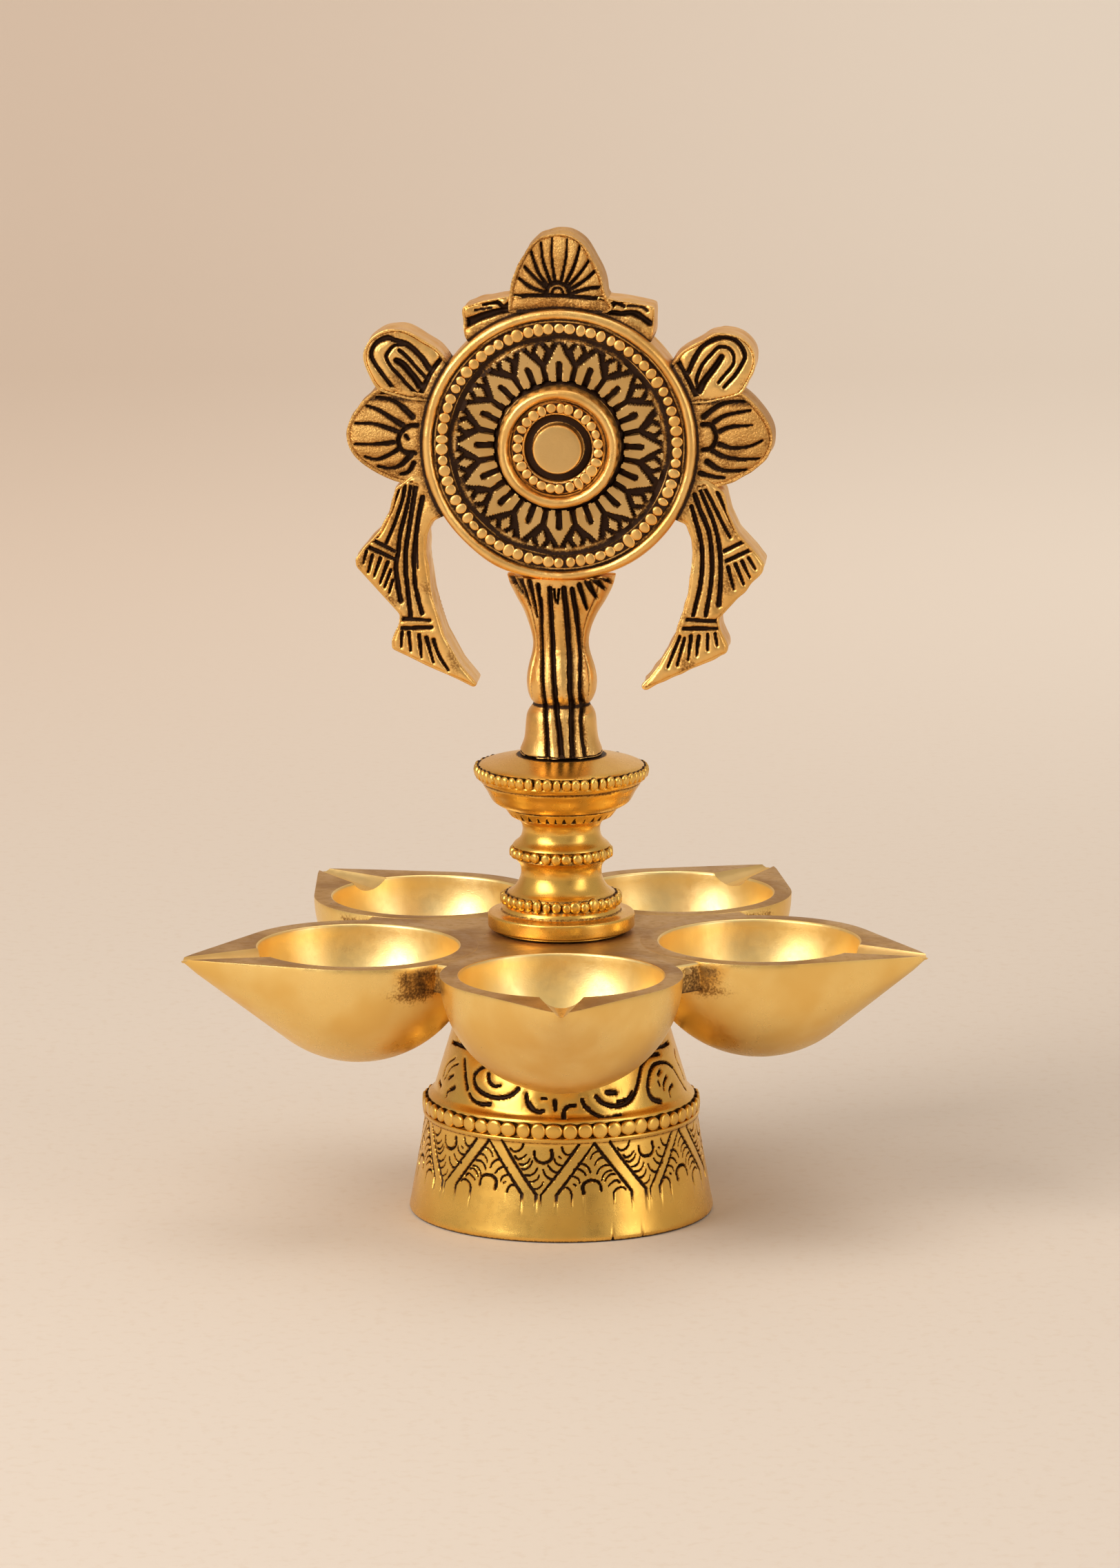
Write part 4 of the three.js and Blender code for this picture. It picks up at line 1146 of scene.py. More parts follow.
@dataclass
class Baluster:
    """The turned baluster: flange, two necks, three bead rings and the flared dish."""

    steps: int = 400
    leaves: int = 34
    lower_beads: BeadRing = BeadRing(36, 11.25, 6.5, 1.06, 1.18, 1.3, jitter=0.1, seed=5)
    upper_beads: BeadRing = BeadRing(28, 9.45, 16.05, 1.12, 1.18, 1.3, jitter=0.08, seed=6)
    dish_beads: BeadRing = BeadRing(56, 16.75, 32.55, 1.0, 1.3, 1.1, tilt=-12, jitter=0.08, seed=7)

    def stem(self) -> bpy.types.Object:
        """Turn the baluster with the holes for both studs."""
        profile = rounded(
            [
                (4.3, 0.0), (13.3, 0.0), (13.3, 0.4), (14.3, 0.4, 0.15), (14.8, 0.8, 0.2),
                (14.8, 3.3, 0.1), (14.55, 3.6, 0.1), (13.0, 3.65, 0.3), (12.1, 3.9, 0.3),
                (11.9, 4.8, 0.3), (11.3, 5.3, 0.2), (11.0, 6.4, 0.2), (11.1, 7.4, 0.2), (10.7, 7.85, 0.3),
                (9.9, 8.25, 0.3), (9.1, 9.1, 0.6), (8.3, 10.6, 1.0), (8.05, 12.2, 1.0), (8.3, 13.6, 0.7),
                (9.3, 14.6, 0.5), (9.75, 14.85, 0.2), (9.4, 15.3, 0.15), (9.3, 16.1, 0.15),
                (9.4, 16.9, 0.15), (9.85, 17.3, 0.2), (9.5, 17.8, 0.3), (8.3, 18.7, 0.7),
                (7.85, 19.9, 0.8), (7.8, 21.2, 0.6), (8.2, 22.4, 0.6), (9.2, 23.0, 0.4),
                (10.3, 23.5, 0.4), (11.0, 24.5, 0.4), (11.6, 25.3, 0.3), (12.9, 25.9, 0.5),
                (13.9, 26.6, 0.5), (14.55, 27.7, 0.5), (15.0, 28.7, 0.5), (15.5, 29.4, 0.3),
                (15.95, 30.1, 0.4), (16.6, 30.9, 0.4), (16.95, 31.4, 0.2), (16.5, 31.9, 0.15),
                (16.3, 32.6, 0.15), (16.4, 33.3, 0.15), (16.75, 33.75, 0.3), (15.8, 34.2, 0.5),
                (13.0, 34.85, 1.5), (10.5, 35.45, 1.0), (8.9, 35.9), (3.3, 35.9), (3.3, 25.6),
                (0.0, 25.6),
            ],
            2,
        )
        profile = [(0.0, 16.3), (4.3, 16.3)] + profile
        fine = lambda r, z: 0.25 if 21.5 < z < 26 and r > 8 else 0.75
        piece = turned("baluster_stem", dense(profile, fine), self.steps)
        relief = Relief(piece)
        radius, theta = relief.polar()
        z = relief.co[:, 2]
        out = radius > 7.0
        leaf = theta / (2 * math.pi) * self.leaves
        place = ((leaf + 0.12 * waves(theta * 5, z, 21)) % 1) - 0.5
        size = 0.24 + 0.09 * waves(np.floor(leaf) * 1.7, z * 0, 24)
        nick = np.clip(size * (24.9 - z) / 1.5, 0, 0.36) - np.abs(place)
        collar = out * (z > 23.3) * (z < 24.95)
        relief.sink(0.35 * ease(nick, 0, 0.09) * collar)
        relief.darken(0.95 * ease(nick, 0, 0.07) * collar)
        relief.groove(z - 25.35 + 0.1 * waves(theta * 6, z, 22), 0.22, 0.18, 0.6, out)
        relief.groove(z - 30.2 - 0.22 * waves(theta * 4, z * 0.1, 23), 0.3, 0.2, 0.45, out)
        for level, half, dirt in BALUSTER_DIRT:
            relief.darken(dirt * hollow(z - level, half) * out)
        relief.darken(0.9 * ease(radius, 9.15, 8.75) * (z > 35.4))
        relief.apply()
        return piece

    def build(self, bench: Bench, paints: Paintbox) -> None:
        """Model the baluster and set it down."""
        base = bench.height("baluster")
        stem = bench.place(self.stem(), base, 0, Body.STEM, Slot.POLISHED, [paints.polished])
        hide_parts("baluster")
        rings = {"lower": self.lower_beads, "upper": self.upper_beads, "dish": self.dish_beads}
        for name, ring in rings.items():
            beads = ring.build(f"baluster_{name}_beads")
            bench.place(beads, base, 0, Body.STEM, Slot.POLISHED, [paints.polished], ALL_SMOOTH)


@dataclass
class Stud:
    """A threaded stud with chamfered ends."""

    name: str
    node: str
    radius: float
    length: float
    pitch: float
    body: Body
    depth: float = 0.4
    chamfer: float = 0.5

    def build(self, bench: Bench, paints: Paintbox) -> None:
        """Turn the stud, run the thread round it and set it down."""
        tip = self.radius - self.chamfer
        profile = [(0.0, 0.0), (tip, 0.0), (self.radius, self.chamfer)]
        profile += [(self.radius, self.length - self.chamfer), (tip, self.length), (0.0, self.length)]
        fine = lambda r, z: self.pitch / 7 if r > self.radius - 0.4 else 1.5
        piece = turned(self.name, dense(profile, fine), 48)
        relief = Relief(piece)
        x, y, z = relief.co.T
        phase = (z / self.pitch - np.arctan2(y, x) / (2 * math.pi)) % 1
        side = ease(np.hypot(x, y), tip, self.radius - 0.1) * (z > 0.3) * (z < self.length - 0.3)
        relief.sink(side * self.depth * ease(np.abs(phase - 0.5), 0.1, 0.45))
        relief.darken(0.6 * side * ease(np.abs(phase - 0.5), 0.3, 0.5))
        relief.apply()
        bench.place(piece, bench.height(self.node), 0, self.body, Slot.THREADED, [paints.threaded])
        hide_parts(self.node)


@dataclass
class Wheel:
    """The wheel of the emblem: rim, bead ring, lotus petals and hub, the same on both faces.

    petal_foot, petal_belly, petal_tip: radii of a petal's foot, widest place and tip, with half its width at
    the first two. slot_half, slot_top: half width and top of the slot that splits it. kite_foot, kite_belly,
    kite_tip: radii of the diamonds between the petals. wedge_top: radius where the wedges above them end.
    field_low, field_high: the sunk field that they stand in. furrows: dark rings, each between two radii.
    """

    radius: float = 27.5
    petals: int = 16
    petal_foot: float = 12.9
    petal_belly: float = 15.9
    petal_tip: float = 20.9
    foot_half: float = 2.15
    belly_half: float = 2.75
    slot_half: float = 0.5
    slot_top: float = 16.4
    kite_foot: float = 16.9
    kite_belly: float = 19.1
    kite_tip: float = 21.3
    wedge_top: float = 21.0
    field_low: float = 12.9
    field_high: float = 20.95
    recess: float = 1.0
    furrows: tuple = ((4.95, 6.85), (9.2, 9.85), (12.1, 12.95), (20.95, 22.35), (24.65, 25.45))
    steps: int = 420
    rim_beads: BeadRing = BeadRing(70, 23.5, 5.55, 1.1, 1.18, 1.1, tilt=90, flat=0.45, jitter=0.1, seed=31)
    hub_beads: BeadRing = BeadRing(27, 8.1, 9.15, 1.0, 1.12, 1.1, tilt=90, flat=0.45, jitter=0.1, seed=32)

    def half_profile(self) -> list:
        """One face from the hub's cap to the rim, as (radius, height above the middle plane)."""
        return rounded(
            [
                (0.0, 11.2), (3.0, 11.2), (4.75, 11.15, 0.25), (4.95, 10.7, 0.3), (5.05, 8.2, 0.3),
                (6.5, 8.2, 0.3), (6.75, 9.0), (7.2, 9.25, 0.2), (9.0, 9.25, 0.2), (9.35, 8.9), (9.7, 8.8),
                (9.9, 9.8, 0.4), (10.35, 10.45, 0.4), (10.95, 10.65, 0.4), (11.55, 10.45, 0.4),
                (12.0, 9.8, 0.4), (12.15, 8.4, 0.4), (12.2, 5.6, 0.3), (12.8, 5.3), (13.0, 6.0),
                (20.9, 6.0), (21.1, 5.1), (22.2, 5.1, 0.3), (22.4, 5.75), (24.6, 5.75), (24.8, 5.2),
                (25.25, 5.2), (25.45, 5.95, 0.3), (25.9, 6.4, 0.3), (26.4, 6.5, 0.3), (26.95, 6.25, 0.4),
                (27.35, 5.7, 0.4), (27.5, 4.9, 0.5), (27.5, 2.4),
            ],
            2,
        )

    def petal_field(self, radius: np.ndarray, angle: np.ndarray) -> np.ndarray:
        """How much of the flat metal is left at each place of the petal field, 0 in the dark ground to 1."""
        pitch = 2 * math.pi / self.petals
        index = np.round((angle - math.pi / 2) / pitch)
        fold = (angle - math.pi / 2) - index * pitch
        lean = 0.35 * np.sin(index * 2.4)
        u = radius * np.sin(fold) + lean * (radius - 16) / 8
        v = radius * np.cos(fold)
        stretch = self.petal_tip + 0.25 * np.sin(index * 1.7)
        swelling = np.clip((v - self.petal_foot) / (self.petal_belly - self.petal_foot), 0, 1)
        narrowing = np.clip((stretch - v) / (stretch - self.petal_belly), 0, 1)
        lower_half = self.foot_half + (self.belly_half - self.foot_half) * swelling
        half = np.where(v < self.petal_belly, lower_half, self.belly_half * narrowing)
        rough = 0.06 * waves(radius * np.cos(angle), radius * np.sin(angle), 41, 8, 2.0)
        body = ease(half - np.abs(u) + rough, -0.02, 0.2) * (v > self.petal_foot)
        slot = np.hypot(u + 0.12 * np.sin(index * 3.1), np.maximum(v - self.slot_top, 0))
        body *= ease(slot + rough, self.slot_half - 0.06, self.slot_half + 0.16)
        gap = (angle - math.pi / 2) / pitch - 0.5
        between = np.round(gap)
        across = radius * np.sin((gap - between) * pitch) + 0.2 * np.sin(between * 2.9)
        below = (radius - self.kite_foot) * 0.56
        above = (self.kite_tip - radius) * 0.58
        kite = np.where(radius < self.kite_belly, below, above)
        diamond = ease(kite - 0.12 - np.abs(across) + rough, -0.02, 0.2)
        corner = (radius - self.kite_belly) * 0.55 - np.abs(np.abs(across) - 1.96)
        wedge = ease(corner + rough, 0.0, 0.22) * (radius < self.wedge_top)
        return np.maximum(np.maximum(body, diamond), wedge)

    def disc(self) -> bpy.types.Object:
        """Turn both faces in one and cut the petals out of them."""
        fine = lambda r, h: 0.24 if self.field_low < r < self.field_high else 0.9
        half = dense(self.half_profile(), fine)
        profile = half + [(r, -h) for r, h in reversed(half)]
        piece = turned("wheel_disc", profile, self.steps)
        relief = Relief(piece)
        x, y, z = relief.co.T
        radius = np.hypot(x, y)
        angle = np.arctan2(y, x)
        field_here = ease(radius, 12.55, self.field_low) * ease(radius, 21.15, self.field_high)
        metal = self.petal_field(radius, angle)
        relief.sink(self.recess * (1 - metal) * field_here)
        relief.darken((1 - ease(metal, 0.1, 0.6)) * field_here)
        wander = 0.12 * waves(x, y, 42, 7, 0.35)
        faces = np.abs(z) > 3.4
        for low, high in self.furrows:
            middle, width = (low + high) / 2, (high - low) / 2
            relief.darken(0.85 * ease(width - 0.12 - np.abs(radius + wander - middle), -0.1, 0.2) * faces)
        relief.darken(0.85 * ease(1.3 - np.abs(radius - self.rim_beads.orbit), 0, 0.18) * faces)
        relief.darken(0.8 * ease(1.1 - np.abs(radius - self.hub_beads.orbit), 0, 0.18) * faces)
        rim = ease(radius, 25.2, 25.8)
        collar = ease(radius, 9.7, 10.1) * ease(radius, 12.3, 12.0)
        relief.rise += 0.12 * waves(x, y, 43, 6, 0.28) * rim * faces
        relief.rise += 0.1 * waves(x, y, 44, 6, 0.4) * collar * faces
        relief.apply()
        return piece

    def build(self, bench: Bench, paints: Paintbox, height: float, turn: float) -> None:
        """Model the wheel, stand it up and set it down."""
        disc = self.disc()
        mesh = disc.data
        mesh.materials.append(paints.cast)
        mesh.materials.append(paints.petal)
        x, y, z = rows(mesh.polygons, "center").T
        radius = np.hypot(x, y)
        bed = (radius > self.field_low) & (radius < self.wedge_top)
        flat = bed | ((radius < 4.6) & (np.abs(z) > 11))
        mesh.polygons.foreach_set("material_index", flat.astype(np.int32))
        pieces = [disc]
        for name, ring in (("rim", self.rim_beads), ("hub", self.hub_beads)):
            front = ring.build(f"wheel_{name}_beads_front")
            back = ring.build(f"wheel_{name}_beads_back")
            co = read(back.data)
            write(back.data, co * (1, 1, -1))
            back.data.flip_normals()
            for beads in (front, back):
                beads.data.materials.append(paints.cast)
                pieces.append(beads)
        for piece in pieces:
            piece.data.transform(Matrix.Rotation(math.pi / 2, 4, "X"))
            crease = 32.0 if piece is disc else ALL_SMOOTH
            bench.place(piece, height, turn, Body.STEM, Slot.CAST, crease=crease)


def cast_plate(name: str, outline: Path, half: float, bevel: float, voxel: float = 0.23) -> bpy.types.Object:
    """A cast lobe in the XZ plane with soft edges and an even skin that can be carved.

    Args:
        name: Name of the piece.
        outline: Its outline in millimetres, from the wheel's centre.
        half: Half of its thickness.
        bevel: Width of its bevelled edges.
        voxel: Size of its skin's faces.

    Returns:
        The lobe.
    """
    piece = new_mesh(name, [(x, -half, z) for x, z in outline], [], [tuple(range(len(outline)))])
    with editing():
        bpy.ops.mesh.select_all(action="SELECT")
        bpy.ops.mesh.extrude_region_move(TRANSFORM_OT_translate={"value": (0, 2 * half, 0)})
        close_up(1e-5)
        bpy.ops.mesh.select_mode(type="EDGE")
    co = read(piece.data)
    for edge in piece.data.edges:
        a, b = edge.vertices
        edge.select = bool(abs(co[a, 1] - co[b, 1]) < half)
    with editing():
        bpy.ops.mesh.bevel(offset=bevel, segments=3, affect="EDGES", clamp_overlap=True)
        bpy.ops.mesh.select_mode(type="VERT")
    piece.data.remesh_voxel_size = voxel
    bpy.ops.object.voxel_remesh()
    with editing():
        bpy.ops.mesh.select_all(action="SELECT")
        bpy.ops.mesh.vertices_smooth(factor=0.5, repeat=3)
        bpy.ops.mesh.normals_make_consistent(inside=False)
    return piece


def mirrored(path: Path) -> tuple:
    """A path mirrored from one side of the wheel to the other."""
    return tuple((-x, z) for x, z in path)


# Outlines and cuts of the emblem, in millimetres from the wheel's centre
FINIAL_OUTLINE = (
    (-10.2, 26.5), (-10.0, 30.4), (-8.9, 34.5), (-7.0, 38.3), (-4.7, 41.2), (-2.3, 42.2), (0.0, 42.5),
    (2.3, 42.1), (4.9, 40.3), (6.9, 37.0), (8.4, 34.0), (9.2, 30.4), (9.4, 26.5),
)
FINIAL_STROKES = (
    Stroke(((-2.4, 31.3), (-4.9, 33.6), (-7.0, 35.7)), 0.32, 0.22),
    Stroke(((-2.2, 31.8), (-4.2, 34.7), (-5.7, 38.8)), 0.32, 0.2),
    Stroke(((-1.7, 32.5), (-3.2, 36.8), (-3.7, 40.5)), 0.28, 0.18),
    Stroke(((-0.9, 33.0), (-1.5, 37.5), (-1.5, 41.4)), 0.25, 0.14),
    Stroke(((0.4, 33.0), (1.3, 37.5), (1.5, 41.2)), 0.25, 0.14),
    Stroke(((1.3, 32.5), (3.0, 36.1), (4.1, 40.2)), 0.28, 0.18),
    Stroke(((1.8, 31.9), (4.3, 34.8), (6.2, 37.6)), 0.32, 0.2),
    Stroke(((2.1, 31.2), (5.0, 33.1), (7.4, 35.3)), 0.32, 0.24),
    Stroke(((2.6, 30.5), (5.4, 31.4), (7.8, 31.7)), 0.32, 0.3),
    Stroke(((-2.7, 30.6), (-5.6, 31.6), (-8.0, 33.3)), 0.32, 0.25),
    Stroke(((-2.7, 30.2), (-2.2, 31.8), (-0.5, 32.6), (1.4, 31.9), (2.0, 30.2)), 0.36, 0.36, 0.8),
    Stroke(((-1.6, 30.2), (-1.1, 31.3), (-0.4, 31.6), (0.4, 31.3), (0.9, 30.2)), 0.2, 0.2, 0.5),
    Stroke(((-9.4, 29.7), (-5, 30.0), (0, 30.0), (5, 29.7), (9.0, 29.4)), 0.35, 0.35, 0.7),
)
SHOULDER_LEFT = (
    (-7.5, 25.2), (-7.5, 29.6), (-11.0, 29.5), (-14.3, 28.9), (-18.3, 27.8), (-19.2, 26.9), (-19.2, 25.0),
    (-18.9, 21.6), (-17.0, 20.2), (-12.0, 23.4),
)
SHOULDER_RIGHT = (
    (7.5, 25.2), (12.0, 23.4), (16.8, 20.2), (18.5, 21.6), (18.9, 25.0), (18.9, 27.2), (18.0, 28.1),
    (12.1, 29.2), (9.0, 29.6), (7.5, 29.6),
)
SHOULDER_LEFT_STROKES = (
    Stroke(((-15.2, 28.0), (-12.5, 28.5), (-11.1, 27.6), (-9.4, 28.6)), 0.25, 0.5, 0.8),
    Stroke(((-18.6, 24.2), (-15.3, 25.7), (-12.5, 26.6), (-9.4, 27.2)), 0.75, 0.5, 1.0),
    Stroke(((-16.8, 26.9), (-13.6, 27.4)), 0.2, 0.2, 0.4),
)
SHOULDER_RIGHT_STROKES = (
    Stroke(((8.4, 28.9), (9.5, 27.4), (11.2, 28.7), (12.9, 27.9)), 0.5, 0.3, 0.8),
    Stroke(((9.4, 26.8), (12.2, 26.5), (14.9, 26.6), (18.0, 24.6)), 0.4, 0.6, 1.0),
    Stroke(((13.6, 28.0), (16.3, 27.9), (17.5, 27.1)), 0.2, 0.25, 0.4),
)
EAR_OUTLINE = (
    (-21.0, 14.5), (-23.9, 18.7), (-26.9, 20.6), (-30.2, 22.5), (-32.8, 23.0), (-36.2, 22.1), (-38.5, 19.9),
    (-39.1, 16.8), (-37.9, 13.5), (-36.0, 10.7), (-32.0, 9.4), (-28.3, 8.7), (-24.5, 9.0),
)
EAR_LEFT_STROKES = (
    Stroke(((-32.8, 10.6), (-35.2, 13.7), (-37.1, 16.4), (-37.6, 17.8), (-37.2, 19.2), (-36.1, 20.5),
            (-34.2, 21.2), (-32.8, 20.7), (-31.1, 20.3), (-29.4, 19.2), (-27.4, 17.2), (-26.0, 15.1)),
            0.28, 0.55),
    Stroke(((-28.3, 9.8), (-30.4, 11.9), (-32.0, 13.7), (-33.5, 15.3), (-34.4, 16.8), (-34.5, 17.8),
            (-33.8, 18.9), (-32.7, 19.8), (-30.8, 19.9)), 0.26, 0.3),
    Stroke(((-32.0, 18.8), (-30.4, 17.4), (-28.6, 15.4), (-26.7, 13.3)), 0.28, 0.32),
    Stroke(((-32.6, 16.7), (-31.1, 15.8), (-29.0, 13.3), (-27.9, 11.7)), 0.5, 0.7, 1.0),
    Stroke(((-23.2, 17.7), (-25.6, 14.4), (-28.3, 8.9)), 0.35, 0.45),
)
EAR_RIGHT_STROKES = (
    Stroke(((25.7, 15.0), (27.3, 18.5), (28.7, 20.3), (30.8, 21.5), (32.8, 22.0), (34.9, 21.5), (36.2, 20.2),
            (36.9, 18.5), (36.6, 17.2), (34.9, 14.4), (32.8, 12.1)), 0.45, 0.28),
    Stroke(((27.4, 12.3), (27.4, 13.9), (28.4, 16.4), (30.1, 18.5), (31.4, 19.9), (32.5, 20.2), (33.9, 19.7),
            (34.7, 18.3), (34.5, 16.5), (32.8, 14.4), (31.7, 13.0)), 0.28, 0.26),
    Stroke(((32.3, 18.1), (30.8, 15.8), (28.7, 13.0), (27.8, 11.3)), 0.45, 0.7, 1.0),
    Stroke(((23.2, 17.7), (25.2, 14.4), (27.9, 8.9)), 0.35, 0.45),
)
FAN_OUTLINE = (
    (-24.0, 9.6), (-28.6, 10.4), (-33.0, 11.2), (-36.2, 10.9), (-39.5, 8.0), (-42.1, 4.1), (-42.6, 0.8),
    (-41.2, -2.5), (-37.7, -5.4), (-33.0, -7.6), (-28.0, -8.6), (-24.0, -8.6),
)
FAN_LEFT_STROKES = (
    Stroke(((-28.4, 3.7), (-30.4, 3.3), (-32.0, 1.6), (-32.1, -0.2), (-31.1, -1.6), (-28.9, -1.9)),
            0.42, 0.42, 0.8),
    Stroke(((-30.7, 1.6), (-30.2, 0.9)), 0.32, 0.28),
    Stroke(((-29.3, 5.4), (-31.8, 7.7), (-33.9, 8.8), (-36.6, 9.2)), 0.52, 0.2),
    Stroke(((-31.4, 3.7), (-33.9, 5.3), (-36.2, 6.7), (-38.7, 7.5)), 0.5, 0.2),
    Stroke(((-32.2, 2.3), (-34.6, 3.2), (-37.3, 3.9), (-40.9, 3.9)), 0.42, 0.2),
    Stroke(((-33.1, 0.2), (-36.7, -0.2), (-40.9, -0.3)), 0.4, 0.2),
    Stroke(((-32.2, -1.2), (-34.6, -2.6), (-36.7, -3.3), (-39.0, -2.8)), 0.45, 0.2),
    Stroke(((-29.8, -2.5), (-31.8, -4.4), (-33.9, -5.1), (-36.3, -4.7)), 0.5, 0.22),
    Stroke(((-29.1, -3.9), (-30.2, -5.7), (-31.8, -6.2)), 0.48, 0.25),
    Stroke(((-36.0, 10.3), (-32.0, 10.3), (-29.0, 9.8), (-27.5, 9.1)), 0.3, 0.5, 0.8),
)
FAN_RIGHT_STROKES = (
    Stroke(((28.6, 4.5), (30.4, 4.3), (31.2, 2.0), (30.4, -0.1), (28.6, -0.6)), 0.42, 0.42, 0.8),
    Stroke(((27.8, 9.1), (29.4, 10.3), (31.5, 10.6), (35.3, 10.6)), 0.5, 0.25),
    Stroke(((28.8, 6.1), (31.5, 8.2), (34.2, 9.1), (37.0, 9.3)), 0.5, 0.2),
    Stroke(((30.8, 5.0), (32.9, 6.3), (35.6, 7.0), (38.1, 7.4)), 0.45, 0.2),
    Stroke(((31.9, 3.1), (34.2, 4.1), (38.4, 4.5)), 0.4, 0.2),
    Stroke(((31.9, 0.6), (34.3, -0.1), (37.7, 0.2), (40.4, 1.4)), 0.4, 0.2),
    Stroke(((30.6, -0.8), (32.9, -1.9), (36.3, -2.4), (39.8, -2.2)), 0.45, 0.2),
    Stroke(((29.5, -2.9), (31.5, -4.3), (34.3, -4.8), (37.3, -4.5)), 0.5, 0.22),
    Stroke(((28.1, -5.3), (30.9, -6.0), (32.9, -6.2)), 0.45, 0.25),
)
RIBBON_OUTLINE = (
    (-24.5, -6.5), (-29.5, -6.6), (-32.9, -9.1), (-33.9, -13.2), (-35.7, -17.3), (-38.9, -20.7),
    (-41.0, -23.4), (-40.7, -25.0), (-32.0, -34.6), (-32.4, -37.0), (-33.7, -40.0), (-33.6, -41.6),
    (-17.2, -49.2), (-16.5, -48.6), (-19.7, -44.7), (-23.1, -38.6), (-25.5, -30.4), (-26.5, -23.2),
    (-26.6, -18.6), (-25.3, -15.6), (-22.0, -14.0),
)
RIBBON_LEFT_STROKES = (
    Stroke(((-31.9, -8.5), (-33.5, -13.0), (-34.2, -14.3), (-36.6, -19.0)), 0.22, 0.22),
    Stroke(((-31.0, -8.5), (-31.2, -10.6), (-32.3, -14.1), (-33.3, -16.9), (-34.7, -20.1)), 0.3, 0.3),
    Stroke(((-29.6, -7.8), (-30.5, -12.7), (-31.9, -18.3), (-32.3, -21.8), (-32.8, -24.6), (-32.6, -27.4),
            (-31.9, -31.8)), 0.28, 0.5),
    Stroke(((-28.8, -8.5), (-29.4, -12.7), (-30.2, -17.6), (-30.8, -21.8), (-30.8, -25.9), (-30.5, -28.7),
            (-29.9, -35.0)), 0.42, 0.4),
    Stroke(((-27.4, -10.8), (-28.3, -15.4), (-29.1, -21.7), (-29.1, -25.9), (-28.8, -29.4), (-27.6, -34.3)),
            0.42, 0.38),
    Stroke(((-28.3, -16.1), (-28.6, -20.3), (-28.4, -25.2)), 0.18, 0.18, 0.4),
    Stroke(((-37.9, -19.3), (-33.0, -21.8)), 0.32, 0.3, 0.6),
    Stroke(((-39.2, -20.6), (-33.0, -23.4)), 0.36, 0.34, 0.7),
    Stroke(((-38.7, -21.8), (-39.3, -24.2)), 0.26, 0.16),
    Stroke(((-37.5, -22.6), (-38.4, -26.1)), 0.28, 0.16),
    Stroke(((-35.9, -23.2), (-37.2, -26.9)), 0.3, 0.16),
    Stroke(((-34.4, -24.0), (-36.0, -28.3)), 0.32, 0.18),
    Stroke(((-33.8, -25.6), (-35.1, -29.1)), 0.26, 0.18),
    Stroke(((-33.4, -27.6), (-34.2, -30.3)), 0.26, 0.18),
    Stroke(((-31.7, -35.5), (-26.0, -35.7)), 0.34, 0.3, 0.6),
    Stroke(((-31.6, -37.4), (-25.7, -37.1)), 0.36, 0.32, 0.7),
    Stroke(((-31.6, -38.2), (-31.8, -41.2)), 0.22, 0.16),
    Stroke(((-30.2, -38.2), (-29.9, -42.0)), 0.3, 0.18),
    Stroke(((-28.2, -38.7), (-27.7, -43.2)), 0.32, 0.18),
    Stroke(((-26.7, -39.2), (-25.3, -44.3)), 0.32, 0.18),
    Stroke(((-25.3, -39.6), (-24.2, -42.8), (-22.3, -45.8)), 0.3, 0.18),
)
RIBBON_RIGHT_STROKES = (
    Stroke(((31.6, -9.1), (32.9, -11.9), (34.3, -14.7), (35.3, -16.4)), 0.3, 0.2),
    Stroke(((28.8, -7.9), (30.2, -10.5), (31.6, -13.3), (33.0, -16.1), (34.1, -18.1)), 0.3, 0.26),
    Stroke(((27.9, -8.2), (29.2, -11.2), (30.9, -15.4), (31.9, -19.6), (32.3, -23.7), (32.2, -27.9),
            (31.9, -31.8)), 0.3, 0.45),
    Stroke(((27.0, -9.6), (28.1, -12.7), (29.8, -16.8), (30.4, -21.0), (30.5, -25.1), (30.1, -29.3),
            (29.3, -34.0)), 0.4, 0.4),
    Stroke(((26.4, -12.0), (27.2, -14.8), (28.3, -18.9), (28.6, -23.1), (28.2, -28.0), (27.4, -31.5),
            (26.8, -34.0)), 0.36, 0.36),
    Stroke(((33.0, -20.9), (37.4, -18.6)), 0.32, 0.3, 0.6),
    Stroke(((33.4, -22.9), (38.8, -20.3)), 0.36, 0.34, 0.7),
    Stroke(((33.7, -24.1), (34.9, -28.6)), 0.32, 0.18),
    Stroke(((35.2, -23.5), (36.9, -27.6)), 0.3, 0.18),
    Stroke(((36.5, -22.9), (38.1, -26.2)), 0.28, 0.16),
    Stroke(((37.8, -22.2), (39.2, -24.5)), 0.26, 0.16),
    Stroke(((25.6, -34.9), (31.6, -35.1)), 0.32, 0.3, 0.6),
    Stroke(((25.0, -36.7), (31.6, -36.6)), 0.36, 0.32, 0.7),
    Stroke(((24.1, -38.4), (21.7, -44.6)), 0.3, 0.18),
    Stroke(((25.1, -38.6), (23.6, -44.2)), 0.26, 0.18),
    Stroke(((26.4, -38.2), (25.8, -43.0)), 0.32, 0.18),
    Stroke(((27.9, -38.2), (27.5, -42.1)), 0.3, 0.18),
    Stroke(((29.7, -37.8), (29.7, -41.0)), 0.28, 0.18),
    Stroke(((31.2, -37.6), (31.6, -40.0)), 0.24, 0.16),
)
